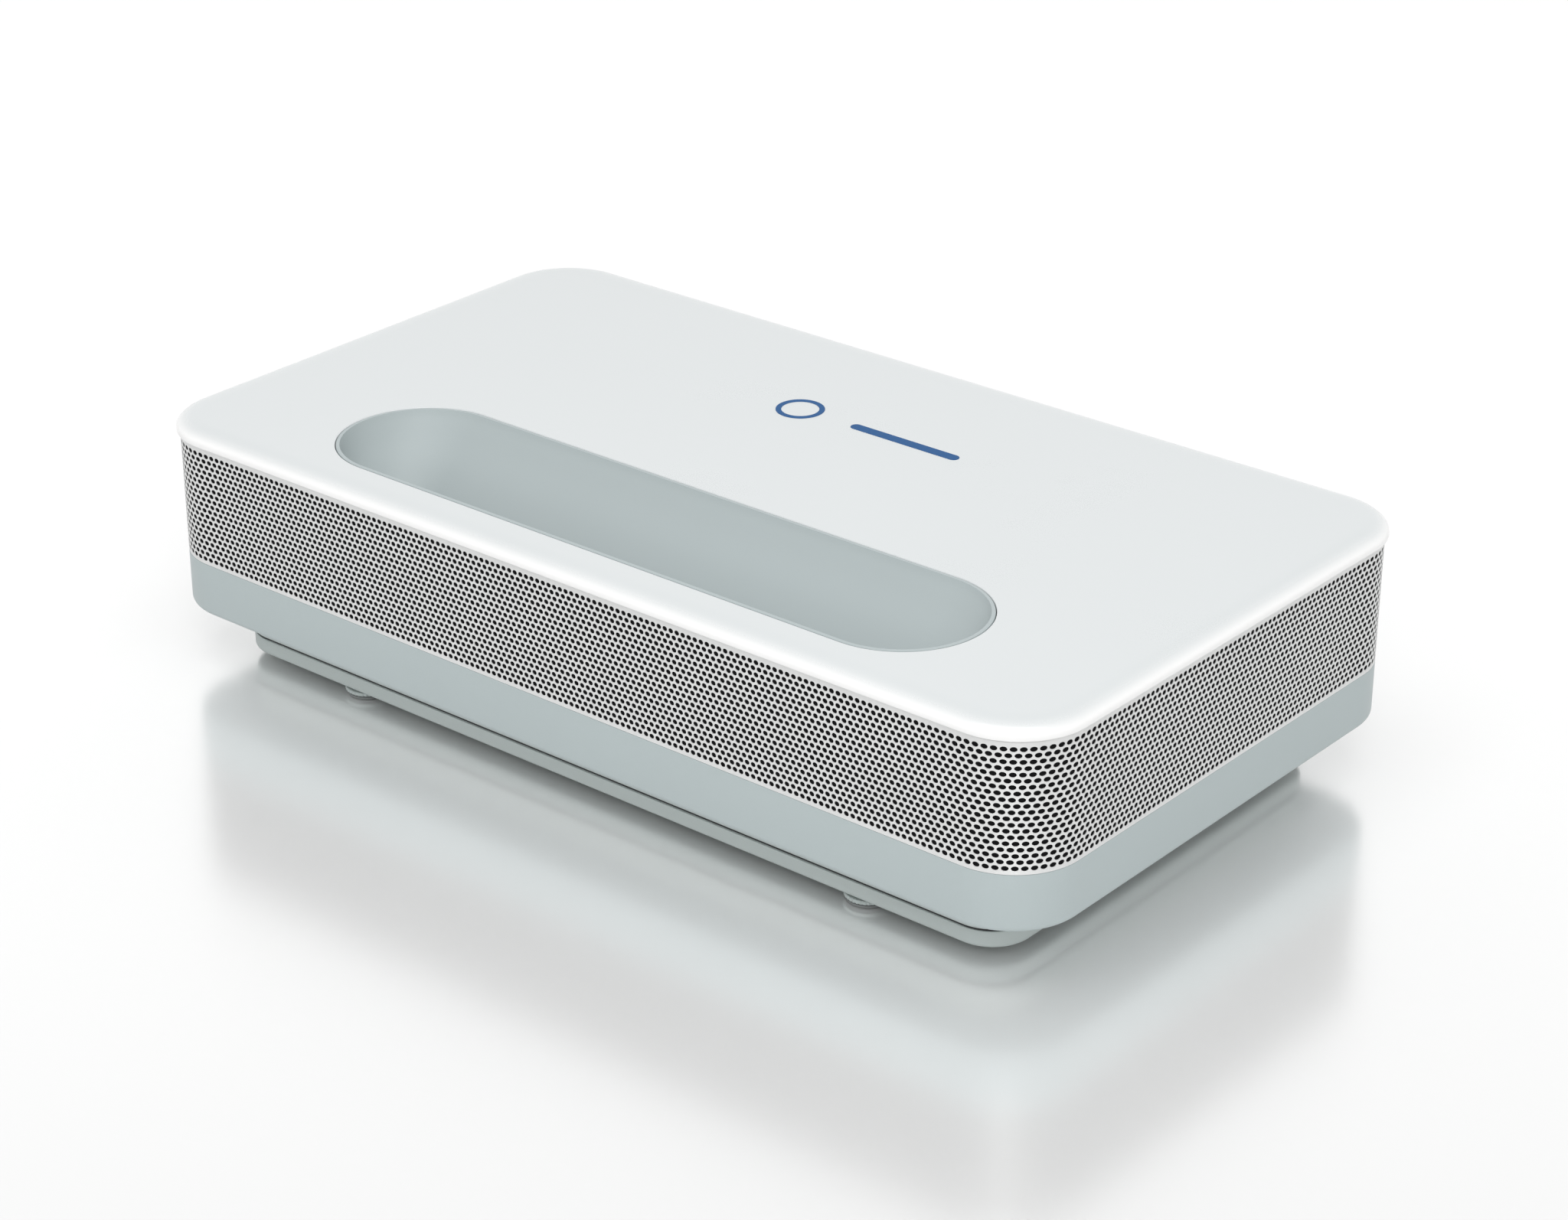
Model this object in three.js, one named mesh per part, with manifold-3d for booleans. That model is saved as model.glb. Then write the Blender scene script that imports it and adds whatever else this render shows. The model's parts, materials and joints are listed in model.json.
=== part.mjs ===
// Ultra-short-throw home projector.
// Millimetres. +X is the viewer's right, -Y is the viewer's side, +Z is up.
// The origin is on the floor, under the middle of the case.

import * as THREE from "three";
import { mergeVertices } from "three/addons/utils/BufferGeometryUtils.js";
import Module from "manifold-3d";

const wasm = await Module();
wasm.setup();

// ---------------------------------------------------------------- driving dimensions

const CASE_WIDTH = 465;
const CASE_DEPTH = 259;
const CORNER_RADIUS = 32;
const FOOT_GAP = 4;
const PLINTH_HEIGHT = 21.5;
const SHELL_HEIGHT = 24.6;
const GRILLE_HEIGHT = 54.2;
const COVER_HEIGHT = 6.7;

const COVER_OVERHANG = 1.5;
const PLINTH_END_INSET = 26.5;
const PLINTH_SIDE_INSET = 20.3;
const PLINTH_RADIUS = 18;

const WELL_END_MARGIN = 72.5;
const WELL_WIDTH = 68.6;
const WELL_CENTRE_X = 3.5;
const WELL_FRONT_MARGIN = 21.2;
const WELL_DEPTH = 39;

const WALL = 2.4;
const SHEET = 1.2;
const PLATE = 1.5;
const BOARD = 1.6;

const SEAM = 0.1;
const PLAY = 0.3;
const SLACK = 0.5;

const ARC_SEGMENTS = 3;
const ROUND_SEGMENTS = 20;

// ---------------------------------------------------------------- levels and outlines

const plinthBottom = FOOT_GAP;
const shellBottom = plinthBottom + PLINTH_HEIGHT;
const grilleBottom = shellBottom + SHELL_HEIGHT;
const coverBottom = grilleBottom + GRILLE_HEIGHT;
const coverTop = coverBottom + COVER_HEIGHT;

const bodyWidth = CASE_WIDTH - 2 * COVER_OVERHANG;
const bodyDepth = CASE_DEPTH - 2 * COVER_OVERHANG;
const bodyRadius = CORNER_RADIUS - COVER_OVERHANG;
const rearFace = bodyDepth / 2;

const plinthWidth = CASE_WIDTH - 2 * PLINTH_END_INSET;
const plinthDepth = CASE_DEPTH - 2 * PLINTH_SIDE_INSET;

const wellLength = CASE_WIDTH - 2 * WELL_END_MARGIN;
const wellCentreY = WELL_FRONT_MARGIN + WELL_WIDTH / 2 - CASE_DEPTH / 2;

const shellFloorTop = shellBottom + WALL + SEAM;
const CHASSIS_DROP = 4.5;
const chassisBottom = shellBottom - CHASSIS_DROP;
const deck = chassisBottom + PLATE + SEAM;

// ---------------------------------------------------------------- finishes

/** Make one surface finish. */
function finish(color, roughness, metalness = 0, opacity = 1) {
  return { color, roughness, metalness, opacity, transparent: opacity < 1 };
}

const FINISH = {
  coverWhite: finish(0xe4e9e7, 0.45),
  linerGrey: finish(0xafbbb9, 0.5),
  windowGlass: finish(0xd8e4e6, 0.05, 0, 0.35),
  markBlue: finish(0x00508f, 0.4),
  grilleMetal: finish(0xc9cdcc, 0.4, 0.8),
  shellGrey: finish(0xacb8b8, 0.5),
  plinthGrey: finish(0xa8b3b0, 0.55),
  darkPlastic: finish(0x24272a, 0.55),
  greyRubber: finish(0x777b7b, 0.85),
  steel: finish(0x9fa3a6, 0.35, 0.9),
  zincSteel: finish(0xb6b9ba, 0.4, 0.85),
  aluminium: finish(0xb9bcbe, 0.4, 0.9),
  copper: finish(0xb46a3c, 0.35, 0.95),
  boardGreen: finish(0x1d5a3a, 0.6),
  mirrorSilver: finish(0xe9ecee, 0.03, 1),
  lensGlass: finish(0xbfd6e6, 0.03, 0, 0.4),
  brass: finish(0xb99a4b, 0.35, 0.9),
};

// ---------------------------------------------------------------- solid tools

/** Turn closed geometry into a solid that can be joined and cut. */
function toSolid(geometry) {
  const bare = geometry.clone();
  bare.deleteAttribute("normal");
  bare.deleteAttribute("uv");
  const merged = mergeVertices(bare, 1e-3);
  const corners = merged.index.array;
  const kept = [];
  for (let i = 0; i < corners.length; i += 3) {
    const [a, b, c] = [corners[i], corners[i + 1], corners[i + 2]];
    if (a !== b && b !== c && c !== a) {
      kept.push(a, b, c);
    }
  }
  const vertProperties = new Float32Array(merged.attributes.position.array);
  const triVerts = new Uint32Array(kept);
  return new wasm.Manifold(new wasm.Mesh({ numProp: 3, vertProperties, triVerts }));
}

/** Turn a solid back into geometry. */
function toGeometry(solid) {
  const mesh = solid.getMesh();
  const geometry = new THREE.BufferGeometry();
  const position = new THREE.BufferAttribute(new Float32Array(mesh.vertProperties), 3);
  geometry.setAttribute("position", position);
  geometry.setIndex(new THREE.BufferAttribute(new Uint32Array(mesh.triVerts), 1));
  geometry.computeVertexNormals();
  return geometry;
}

/** Join pieces that touch or overlap into one body. */
function join(first, ...others) {
  return toGeometry(others.reduce((sum, piece) => sum.add(toSolid(piece)), toSolid(first)));
}

/** Cut the other pieces away from the first one. */
function cut(first, ...others) {
  return toGeometry(others.reduce((rest, piece) => rest.subtract(toSolid(piece)), toSolid(first)));
}

/** Rounded rectangle about the origin; a radius of half its depth makes it an obround. */
function roundedOutline(width, depth, radius) {
  const x = width / 2 - radius;
  const y = depth / 2 - radius;
  const outline = new THREE.Shape();
  outline.absarc(x, y, radius, 0, Math.PI / 2);
  outline.absarc(-x, y, radius, Math.PI / 2, Math.PI);
  outline.absarc(-x, -y, radius, Math.PI, 1.5 * Math.PI);
  outline.absarc(x, -y, radius, 1.5 * Math.PI, 2 * Math.PI);
  return outline;
}

/**
 * Stack one rounded outline through several layers.
 * Each layer has a height z, an inset that draws the outline in, and a shift along Y.
 */
function layered(width, depth, radius, layers) {
  const geometry = new THREE.ExtrudeGeometry(roundedOutline(width, depth, radius), {
    depth: layers.length - 1,
    steps: layers.length - 1,
    bevelEnabled: false,
    curveSegments: ARC_SEGMENTS,
  });
  const coreX = width / 2 - radius;
  const coreY = depth / 2 - radius;
  const position = geometry.attributes.position;
  for (let i = 0; i < position.count; i += 1) {
    const { z, inset = 0, shift = 0 } = layers[Math.round(position.getZ(i))];
    const nearX = THREE.MathUtils.clamp(position.getX(i), -coreX, coreX);
    const nearY = THREE.MathUtils.clamp(position.getY(i), -coreY, coreY);
    const keep = (radius - inset) / radius;
    const x = nearX + (position.getX(i) - nearX) * keep;
    const y = nearY + (position.getY(i) - nearY) * keep + shift;
    position.setXYZ(i, x, y, z);
  }
  return geometry;
}

/** Straight-sided rounded slab from z0 to z1. */
function slab(width, depth, radius, z0, z1) {
  return layered(width, depth, radius, [{ z: z0 }, { z: z1 }]);
}

/** Box between two corners. */
function block([x0, y0, z0], [x1, y1, z1]) {
  const geometry = new THREE.BoxGeometry(x1 - x0, y1 - y0, z1 - z0);
  return geometry.translate((x0 + x1) / 2, (y0 + y1) / 2, (z0 + z1) / 2);
}

/** Upright cylinder from z0 to z1. */
function post(radius, z0, z1, x = 0, y = 0, segments = ROUND_SEGMENTS) {
  const geometry = new THREE.CylinderGeometry(radius, radius, z1 - z0, segments);
  return geometry.rotateX(Math.PI / 2).translate(x, y, (z0 + z1) / 2);
}

/** Cylinder along Y from y0 to y1. */
function barY(radius, y0, y1, x, z, segments = ROUND_SEGMENTS) {
  const geometry = new THREE.CylinderGeometry(radius, radius, y1 - y0, segments);
  return geometry.translate(x, (y0 + y1) / 2, z);
}

/** Body of revolution about Z from [radius, height] pairs that close on themselves or on the axis. */
function turned(profile, segments = ROUND_SEGMENTS) {
  const points = profile.map(([radius, height]) => new THREE.Vector2(radius, height));
  return new THREE.LatheGeometry(points, segments).rotateX(Math.PI / 2);
}

/** Flat ring about Z. */
function ring(inner, outer, z0, z1, segments = ROUND_SEGMENTS) {
  return cut(post(outer, z0, z1, 0, 0, segments), post(inner, z0 - 1, z1 + 1, 0, 0, segments));
}

/** One named piece with its own material. */
function piece(name, geometry, look) {
  const mesh = new THREE.Mesh(geometry, new THREE.MeshStandardMaterial(look));
  mesh.name = name;
  return mesh;
}

/** The four corners, with the signs of their X and Y. */
const CORNERS = [
  { label: "front_left", sx: -1, sy: -1 },
  { label: "front_right", sx: 1, sy: -1 },
  { label: "rear_left", sx: -1, sy: 1 },
  { label: "rear_right", sx: 1, sy: 1 },
];

// ---------------------------------------------------------------- light well

const WELL_RIM = 1.8;
const WINDOW_THICKNESS = 2;
const WINDOW_LEDGE = 2.6;

const WELL_FLOOR_SHARE = 0.255;

const wellFloor = coverTop - WELL_DEPTH;
const floorInset = WELL_WIDTH * WELL_FLOOR_SHARE;

/** Share of the floor's inset at each share of the depth: steep lip, sloped scoop, flat floor. */
const SCOOP = [
  [0, 0],
  [0.06, 0.03],
  [0.28, 0.24],
  [0.54, 0.58],
  [0.8, 0.9],
  [1, 1],
];

/** Layers of the scooped space: its front wall stays upright while the rear wall slopes forward. */
function scoopLayers(grow) {
  return SCOOP.map(([depthShare, insetShare]) => {
    const inset = floorInset * insetShare;
    return { z: coverTop - WELL_DEPTH * depthShare, inset: inset - grow, shift: -inset };
  }).reverse();
}

/** The empty space of the well, open above the cover. */
function wellSpace() {
  const layers = scoopLayers(0);
  layers.push({ z: coverTop + 1 });
  return layered(wellLength, WELL_WIDTH, WELL_WIDTH / 2, layers);
}

const windowWidth = WELL_WIDTH - 2 * floorInset - 2 * WINDOW_LEDGE;
const windowLength = wellLength - 2 * floorInset - 2 * WINDOW_LEDGE - WELL_WIDTH / 2;
const windowSeat = wellFloor - WINDOW_THICKNESS - SEAM;
const linerBottom = windowSeat - WALL;

/** Obround slab under the flat floor of the well. */
function windowSlab(grow, z0, z1) {
  const width = windowWidth + 2 * grow;
  return slab(windowLength + 2 * grow, width, width / 2, z0, z1).translate(0, -floorInset, 0);
}

/** Tub that lines the well, with a rim that fills the hole in the cover and a seat for the window. */
function wellLiner() {
  const skin = scoopLayers(WELL_RIM);
  skin.unshift({ ...skin[0], z: linerBottom });
  const tub = layered(wellLength, WELL_WIDTH, WELL_WIDTH / 2, skin);
  const seat = windowSlab(PLAY, windowSeat, wellFloor + 1);
  const mouth = windowSlab(-WINDOW_LEDGE, linerBottom - 1, wellFloor);
  return cut(tub, wellSpace(), seat, mouth);
}

/** Light well: liner and glass window. */
function lightWell() {
  const group = new THREE.Group();
  group.position.set(WELL_CENTRE_X, wellCentreY, 0);
  group.add(piece("well_liner", wellLiner(), FINISH.linerGrey));
  const glass = windowSlab(0, windowSeat + SEAM / 2, wellFloor);
  group.add(piece("exit_window", glass, FINISH.windowGlass));
  return group;
}

// ---------------------------------------------------------------- case

const EDGE_ROUND = 11;
const EDGE_DROP = 4.6;
const EDGE_STEPS = 3;
const SHELL_EDGE = 3;
const EDGE_MIDDLE = 1 - Math.SQRT1_2;
const COVER_RIB = 3;
const PLINTH_LEDGE = 8;

const MARK_HEIGHT = 0.2;
const MARK_Y = 53;
const MARK_RING_X = -24;
const MARK_RING_RADIUS = 10.5;
const MARK_STROKE = 2.4;
const MARK_BAR = { from: 4, to: 60, width: 5 };

/** Cover with a softly rounded edge, a plain lip and a hole for the well. */
function topCover() {
  const layers = [{ z: coverBottom }];
  for (let i = 0; i <= EDGE_STEPS; i += 1) {
    const turn = (i / EDGE_STEPS) * (Math.PI / 2);
    const inset = EDGE_ROUND * (1 - Math.cos(turn));
    layers.push({ z: coverTop - EDGE_DROP * (1 - Math.sin(turn)), inset });
  }
  const plate = layered(CASE_WIDTH, CASE_DEPTH, CORNER_RADIUS, layers);
  const holeLength = wellLength + 2 * (WELL_RIM + PLAY);
  const holeWidth = WELL_WIDTH + 2 * (WELL_RIM + PLAY);
  const hole = slab(holeLength, holeWidth, holeWidth / 2, coverBottom - 1, coverTop + 1);
  hole.translate(WELL_CENTRE_X, wellCentreY, 0);
  const hollowWidth = bodyWidth - 2 * COVER_RIB - 2 * EDGE_ROUND;
  const hollowDepth = bodyDepth - 2 * COVER_RIB - 2 * EDGE_ROUND;
  const hollowRadius = bodyRadius - COVER_RIB - EDGE_ROUND;
  const hollow = slab(hollowWidth, hollowDepth, hollowRadius, coverBottom - 1, coverTop - COVER_RIB);
  return cut(plate, hole, hollow);
}

/** Perforated band, here as a plain sheet, with an opening for the socket panel. */
function grilleBand() {
  const z0 = grilleBottom + SEAM / 2;
  const z1 = coverBottom - SEAM / 2;
  const outer = slab(bodyWidth, bodyDepth, bodyRadius, z0, z1);
  const inner = slab(bodyWidth - 2 * SHEET, bodyDepth - 2 * SHEET, bodyRadius - SHEET, z0 - 1, z1 + 1);
  const half = PANEL_WIDTH / 2 + SLACK;
  const low = [-half, rearFace - 2 * SHEET, panelBottom - SLACK];
  const high = [half, rearFace + 1, panelTop + SLACK];
  return cut(outer, inner, block(low, high));
}

/** Lower shell: a tray with a rounded lower edge and a large opening down into the plinth. */
function lowerShell() {
  const layers = [
    { z: shellBottom, inset: SHELL_EDGE },
    { z: shellBottom + SHELL_EDGE * EDGE_MIDDLE, inset: SHELL_EDGE * EDGE_MIDDLE },
    { z: shellBottom + SHELL_EDGE, inset: 0 },
    { z: grilleBottom - SEAM / 2, inset: 0 },
  ];
  const outer = layered(bodyWidth, bodyDepth, bodyRadius, layers);
  const wide = bodyWidth - 2 * WALL;
  const deep = bodyDepth - 2 * WALL;
  const inner = slab(wide, deep, bodyRadius - WALL, shellBottom + WALL, grilleBottom + 1);
  const step = 2 * (WALL + PLINTH_LEDGE);
  const dropRadius = PLINTH_RADIUS - PLINTH_LEDGE;
  const drop = slab(plinthWidth - step, plinthDepth - step, dropRadius, 0, grilleBottom);
  return cut(outer, inner, drop);
}

const FOOT_X = plinthWidth / 2 - 70;
const FOOT_Y = plinthDepth / 2 - 9.7;
const FOOT_STEM_RADIUS = 4;
const FOOT_BOSS_RADIUS = 8;
const FOOT_BOSS_TOP = chassisBottom - 2;
const SCREW_X = plinthWidth / 2 - 20;
const SCREW_Y = plinthDepth / 2 - 47.2;
const SCREW_RADIUS = 1.6;
const SCREW_HEAD_RADIUS = 3.4;
const SCREW_HEAD_HEIGHT = 2.2;
const SCREW_POST_RADIUS = 5;

/** Base plinth: a tray with threaded bosses for the feet and posts for the case screws. */
function basePlinth() {
  const top = shellBottom - SEAM;
  const outer = slab(plinthWidth, plinthDepth, PLINTH_RADIUS, plinthBottom, top);
  const wide = plinthWidth - 2 * WALL;
  const deep = plinthDepth - 2 * WALL;
  const inner = slab(wide, deep, PLINTH_RADIUS - WALL, plinthBottom + WALL, top + 1);
  const tray = cut(outer, inner);
  const additions = [];
  const holes = [];
  for (const { sx, sy } of CORNERS) {
    const [footX, footY] = [sx * FOOT_X, sy * FOOT_Y];
    const [screwX, screwY] = [sx * SCREW_X, sy * SCREW_Y];
    const sink = plinthBottom + SCREW_HEAD_HEIGHT + SLACK;
    additions.push(post(FOOT_BOSS_RADIUS, plinthBottom + 1, FOOT_BOSS_TOP, footX, footY, 16));
    additions.push(post(SCREW_POST_RADIUS, plinthBottom + 1, chassisBottom - SEAM, screwX, screwY, 12));
    holes.push(post(FOOT_STEM_RADIUS + PLAY, 0, FOOT_BOSS_TOP + 1, footX, footY, 16));
    holes.push(post(SCREW_RADIUS + PLAY, 0, chassisBottom + 1, screwX, screwY, 16));
    holes.push(post(SCREW_HEAD_RADIUS + PLAY, 0, sink, screwX, screwY, 16));
  }
  return cut(join(tray, ...additions), ...holes);
}

/** Steel plate that carries the light engine and the boards. */
function chassisPlate() {
  const margin = 2 * (WALL + SLACK);
  const radius = PLINTH_RADIUS - WALL - SLACK;
  const top = chassisBottom + PLATE;
  const plate = slab(plinthWidth - margin, plinthDepth - margin, radius, chassisBottom, top);
  const holes = CORNERS.map(({ sx, sy }) =>
    post(SCREW_RADIUS + PLAY, chassisBottom - 1, top + 1, sx * SCREW_X, sy * SCREW_Y, 16));
  return cut(plate, ...holes);
}

/** Generic raised mark on the cover: a ring and a plain bar. */
function coverMark() {
  const group = new THREE.Group();
  group.position.set(0, MARK_Y, coverTop);
  const band = ring(MARK_RING_RADIUS - MARK_STROKE, MARK_RING_RADIUS, 0, MARK_HEIGHT);
  group.add(piece("mark_ring", band.translate(MARK_RING_X, 0, 0), FINISH.markBlue));
  const length = MARK_BAR.to - MARK_BAR.from;
  const bar = slab(length, MARK_BAR.width, MARK_BAR.width / 2, 0, MARK_HEIGHT);
  bar.translate((MARK_BAR.from + MARK_BAR.to) / 2, 0, 0);
  group.add(piece("mark_bar", bar, FINISH.markBlue));
  return group;
}

/** All the fixed covers of the case. */
function casing() {
  const group = new THREE.Group();
  group.add(piece("top_cover", topCover(), FINISH.coverWhite));
  group.add(piece("grille_band", grilleBand(), FINISH.grilleMetal));
  group.add(piece("lower_shell", lowerShell(), FINISH.shellGrey));
  group.add(piece("base_plinth", basePlinth(), FINISH.plinthGrey));
  group.add(piece("chassis_plate", chassisPlate(), FINISH.zincSteel));
  group.add(coverMark());
  return group;
}

// ---------------------------------------------------------------- feet and case screws

const PAD_RADIUS = 9;
const PAD_HEIGHT = 1.4;
const PAD_PIN_RADIUS = 2;
const PAD_PIN_TOP = 2.8;
const FOOT_DISC_RADIUS = 9.6;
const FOOT_DISC_TOP = FOOT_GAP - 0.5;
const FOOT_STEM_TOP = FOOT_BOSS_TOP - 0.4;
const SCREW_SLOT = { reach: SCREW_HEAD_RADIUS * 0.7, half: 0.4, depth: 0.8 };

/** Rubber pad with a pin that turns in the foot screw. */
function footPad() {
  const pin = post(PAD_PIN_RADIUS, PAD_HEIGHT - 1, PAD_PIN_TOP, 0, 0, 16);
  return join(post(PAD_RADIUS, 0, PAD_HEIGHT), pin);
}

/** Levelling screw: a disc to turn by hand and a stem in the plinth's boss. */
function footScrew() {
  const disc = post(FOOT_DISC_RADIUS, PAD_HEIGHT + PLAY, FOOT_DISC_TOP);
  const stem = post(FOOT_STEM_RADIUS, PAD_HEIGHT + 1, FOOT_STEM_TOP, 0, 0, 16);
  const socket = post(PAD_PIN_RADIUS + PLAY, 0, PAD_PIN_TOP + PLAY, 0, 0, 16);
  return cut(join(disc, stem), socket);
}

/** Case screw: a flat head under the plinth and a shank up into the chassis plate. */
function caseScrew() {
  const head = plinthBottom + SLACK;
  const shank = post(SCREW_RADIUS, head + 1, chassisBottom + PLATE - SEAM, 0, 0, 16);
  const { reach, half, depth } = SCREW_SLOT;
  const slot = block([-reach, -half, 0], [reach, half, head + depth]);
  return cut(join(post(SCREW_HEAD_RADIUS, head, head + SCREW_HEAD_HEIGHT, 0, 0, 16), shank), slot);
}

/** Four levelling feet and four case screws, one of each towards every corner. */
function underside() {
  const group = new THREE.Group();
  for (const { label, sx, sy } of CORNERS) {
    const foot = new THREE.Group();
    foot.position.set(sx * FOOT_X, sy * FOOT_Y, 0);
    foot.add(piece(`foot_pad_${label}`, footPad(), FINISH.greyRubber));
    foot.add(piece(`foot_screw_${label}`, footScrew(), FINISH.plinthGrey));
    const screw = piece(`case_screw_${label}`, caseScrew(), FINISH.steel);
    screw.position.set(sx * SCREW_X, sy * SCREW_Y, 0);
    group.add(foot, screw);
  }
  return group;
}

// ---------------------------------------------------------------- socket panel

const PANEL_WIDTH = bodyWidth * (219 / 462);
const PANEL_RISE = 6.4;
const PANEL_DROP = 6.8;
const panelBottom = grilleBottom + PANEL_RISE;
const panelTop = coverBottom - PANEL_DROP;

const boardBottom = panelBottom + PLATE;
const boardTop = boardBottom + BOARD;
const mouth = rearFace - PLAY;

/** Place along the panel, given for a panel that is 219 wide. */
function along(place) {
  return (place * PANEL_WIDTH) / 219;
}

const INLET = { width: 28, height: 20, depth: 22, wall: 2, look: FINISH.darkPlastic };
const LAN = { width: 16, height: 13.5, depth: 20, wall: 0.8, look: FINISH.zincSteel };
const USB = { width: 14.4, height: 7.2, depth: 16, wall: 0.8, look: FINISH.zincSteel };
const HDMI = { width: 15.4, height: 6.2, depth: 13, wall: 0.8, look: FINISH.zincSteel };
const OPTICAL = { width: 9.7, height: 9.7, depth: 13, wall: 0.8, look: FINISH.darkPlastic };

/** Every socket: its name, its place along the panel and its kind. */
const SOCKETS = [
  { name: "power_inlet", x: along(-86), ...INLET },
  { name: "lan_socket", x: along(-50), ...LAN },
  { name: "usb_socket_1", x: along(-28), ...USB },
  { name: "usb_socket_2", x: along(-8), ...USB },
  { name: "hdmi_socket_1", x: along(13), ...HDMI },
  { name: "hdmi_socket_2", x: along(35), ...HDMI },
  { name: "optical_socket", x: along(54), ...OPTICAL },
];
const AUDIO = { x: along(70), size: 8, depth: 12, bore: 1.8 };
const BUTTON = { x: along(92), radius: 5.5, stem: 2, proud: 0.1 };
const buttonZ = (panelBottom + panelTop) / 2;

/** Hollow socket with its mouth towards the rear. */
function socketBody({ x, width, height, depth, wall }) {
  const z0 = boardTop + SEAM;
  const outer = block([x - width / 2, mouth - depth, z0], [x + width / 2, mouth, z0 + height]);
  const low = [x - width / 2 + wall, mouth - depth + wall, z0 + wall];
  const high = [x + width / 2 - wall, mouth + 1, z0 + height - wall];
  return cut(outer, block(low, high));
}

/** Small round audio socket. */
function audioSocket() {
  const z0 = boardTop + SEAM;
  const { x, size, depth, bore } = AUDIO;
  const outer = block([x - size / 2, mouth - depth, z0], [x + size / 2, mouth, z0 + size]);
  return cut(outer, barY(bore, mouth - depth + 2, mouth + 1, x, z0 + size / 2, 24));
}

/** Panel with one window for each socket and a guide hole for the button. */
function ioPanel() {
  const face = [-PANEL_WIDTH / 2, rearFace - WALL, panelBottom];
  const plate = block(face, [PANEL_WIDTH / 2, rearFace, panelTop]);
  const inside = rearFace - 2 * WALL;
  const outside = rearFace + 1;
  const sizes = [...SOCKETS, { x: AUDIO.x, width: AUDIO.size, height: AUDIO.size }];
  const openings = sizes.map(({ x, width, height }) => {
    const half = width / 2 + PLAY;
    const low = [x - half, inside, boardTop + SEAM - PLAY];
    return block(low, [x + half, outside, boardTop + height + PLAY]);
  });
  const guide = barY(BUTTON.radius + PLAY, inside, outside, BUTTON.x, buttonZ);
  return cut(plate, guide, ...openings);
}

/** Push button: a cap in the panel with a stem behind it. */
function powerButton() {
  const { x, radius, stem, proud } = BUTTON;
  const cap = barY(radius, rearFace - WALL - 1, rearFace + proud, x, buttonZ);
  return join(cap, barY(stem, rearFace - 3 * WALL, rearFace - WALL, x, buttonZ, 16));
}

const MAIN_BOARD = { depth: 46, margin: 4 };
const COOLER = { x: -30, width: 32, depth: 20, fins: 5, pitch: 7.5, fin: 2, height: 16 };
const CHOKES = { x: 30, count: 4, pitch: 15, size: 9, height: 5 };

/** Main board: it carries the sockets, a processor cooler and a row of chokes. */
function mainBoard() {
  const half = PANEL_WIDTH / 2 - MAIN_BOARD.margin;
  const front = rearFace - MAIN_BOARD.depth;
  const near = front + MAIN_BOARD.margin;
  const board = block([-half, front, boardBottom], [half, rearFace - WALL - PLAY, boardTop]);
  const base = boardTop - SEAM;
  const coolerLeft = along(COOLER.x);
  const coolerBack = near + COOLER.depth;
  const plateTop = boardTop + COOLER.height / 3;
  const additions = [block([coolerLeft, near, base], [coolerLeft + COOLER.width, coolerBack, plateTop])];
  for (let i = 0; i < COOLER.fins; i += 1) {
    const x = coolerLeft + i * COOLER.pitch;
    const high = [x + COOLER.fin, coolerBack, boardTop + COOLER.height];
    additions.push(block([x, near, plateTop - SEAM], high));
  }
  for (let i = 0; i < CHOKES.count; i += 1) {
    const x = along(CHOKES.x + i * CHOKES.pitch);
    const high = [x + CHOKES.size, near + CHOKES.size, boardTop + CHOKES.height];
    additions.push(block([x, near, base], high));
  }
  return join(board, ...additions);
}

/** Rear connections: panel, sockets, button and main board. */
function rearConnections() {
  const group = new THREE.Group();
  group.add(piece("io_panel", ioPanel(), FINISH.darkPlastic));
  for (const socket of SOCKETS) {
    group.add(piece(socket.name, socketBody(socket), socket.look));
  }
  group.add(piece("audio_socket", audioSocket(), FINISH.darkPlastic));
  group.add(piece("power_button", powerButton(), FINISH.shellGrey));
  group.add(piece("main_board", mainBoard(), FINISH.boardGreen));
  return group;
}

// ---------------------------------------------------------------- light engine

const BACK_BOARD_MARGIN = 15;
const DRIVER_DEPTH = 42;
const driverBack = plinthDepth / 2 - BACK_BOARD_MARGIN;
const driverFront = driverBack - DRIVER_DEPTH;

const engineHalf = plinthWidth * 0.175;
const ENGINE = { front: -8, back: rearFace - 50, top: deck + 61.4, wall: 3 };
const LENS_Z = deck + 23.4;
const BARREL_RADIUS = 17;
const BARREL = {
  rear: -12,
  front: 62,
  bore: BARREL_RADIUS - 5,
  neck: BARREL_RADIUS - 2,
  seat: BARREL_RADIUS,
  flange: BARREL_RADIUS + 2,
};
const BARREL_STEPS = { neck: 12, seat: 44, lip: 5 };
const LASER_PORT = { half: 10, low: LENS_Z - 12, high: LENS_Z + 14 };
const CHIP_PORT = { half: 12, low: LENS_Z - 12, high: LENS_Z + 4 };
const RING_TEETH = 48;
const GEAR_MODULE = (2 * (BARREL_RADIUS + 2.2)) / RING_TEETH;
const RING_TEETH_CUT = 12;
const PINION_TEETH = 12;
const GEAR_WIDTH = 8;
const GEAR_FROM = 30;

const LASER = { width: plinthWidth * 0.1335, front: -14, back: driverFront - 4, top: deck + 51.4 };
const laserMiddle = (LASER.front + LASER.back) / 2;
const laserRight = -engineHalf - PLAY;
const laserLeft = laserRight - LASER.width;

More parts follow.
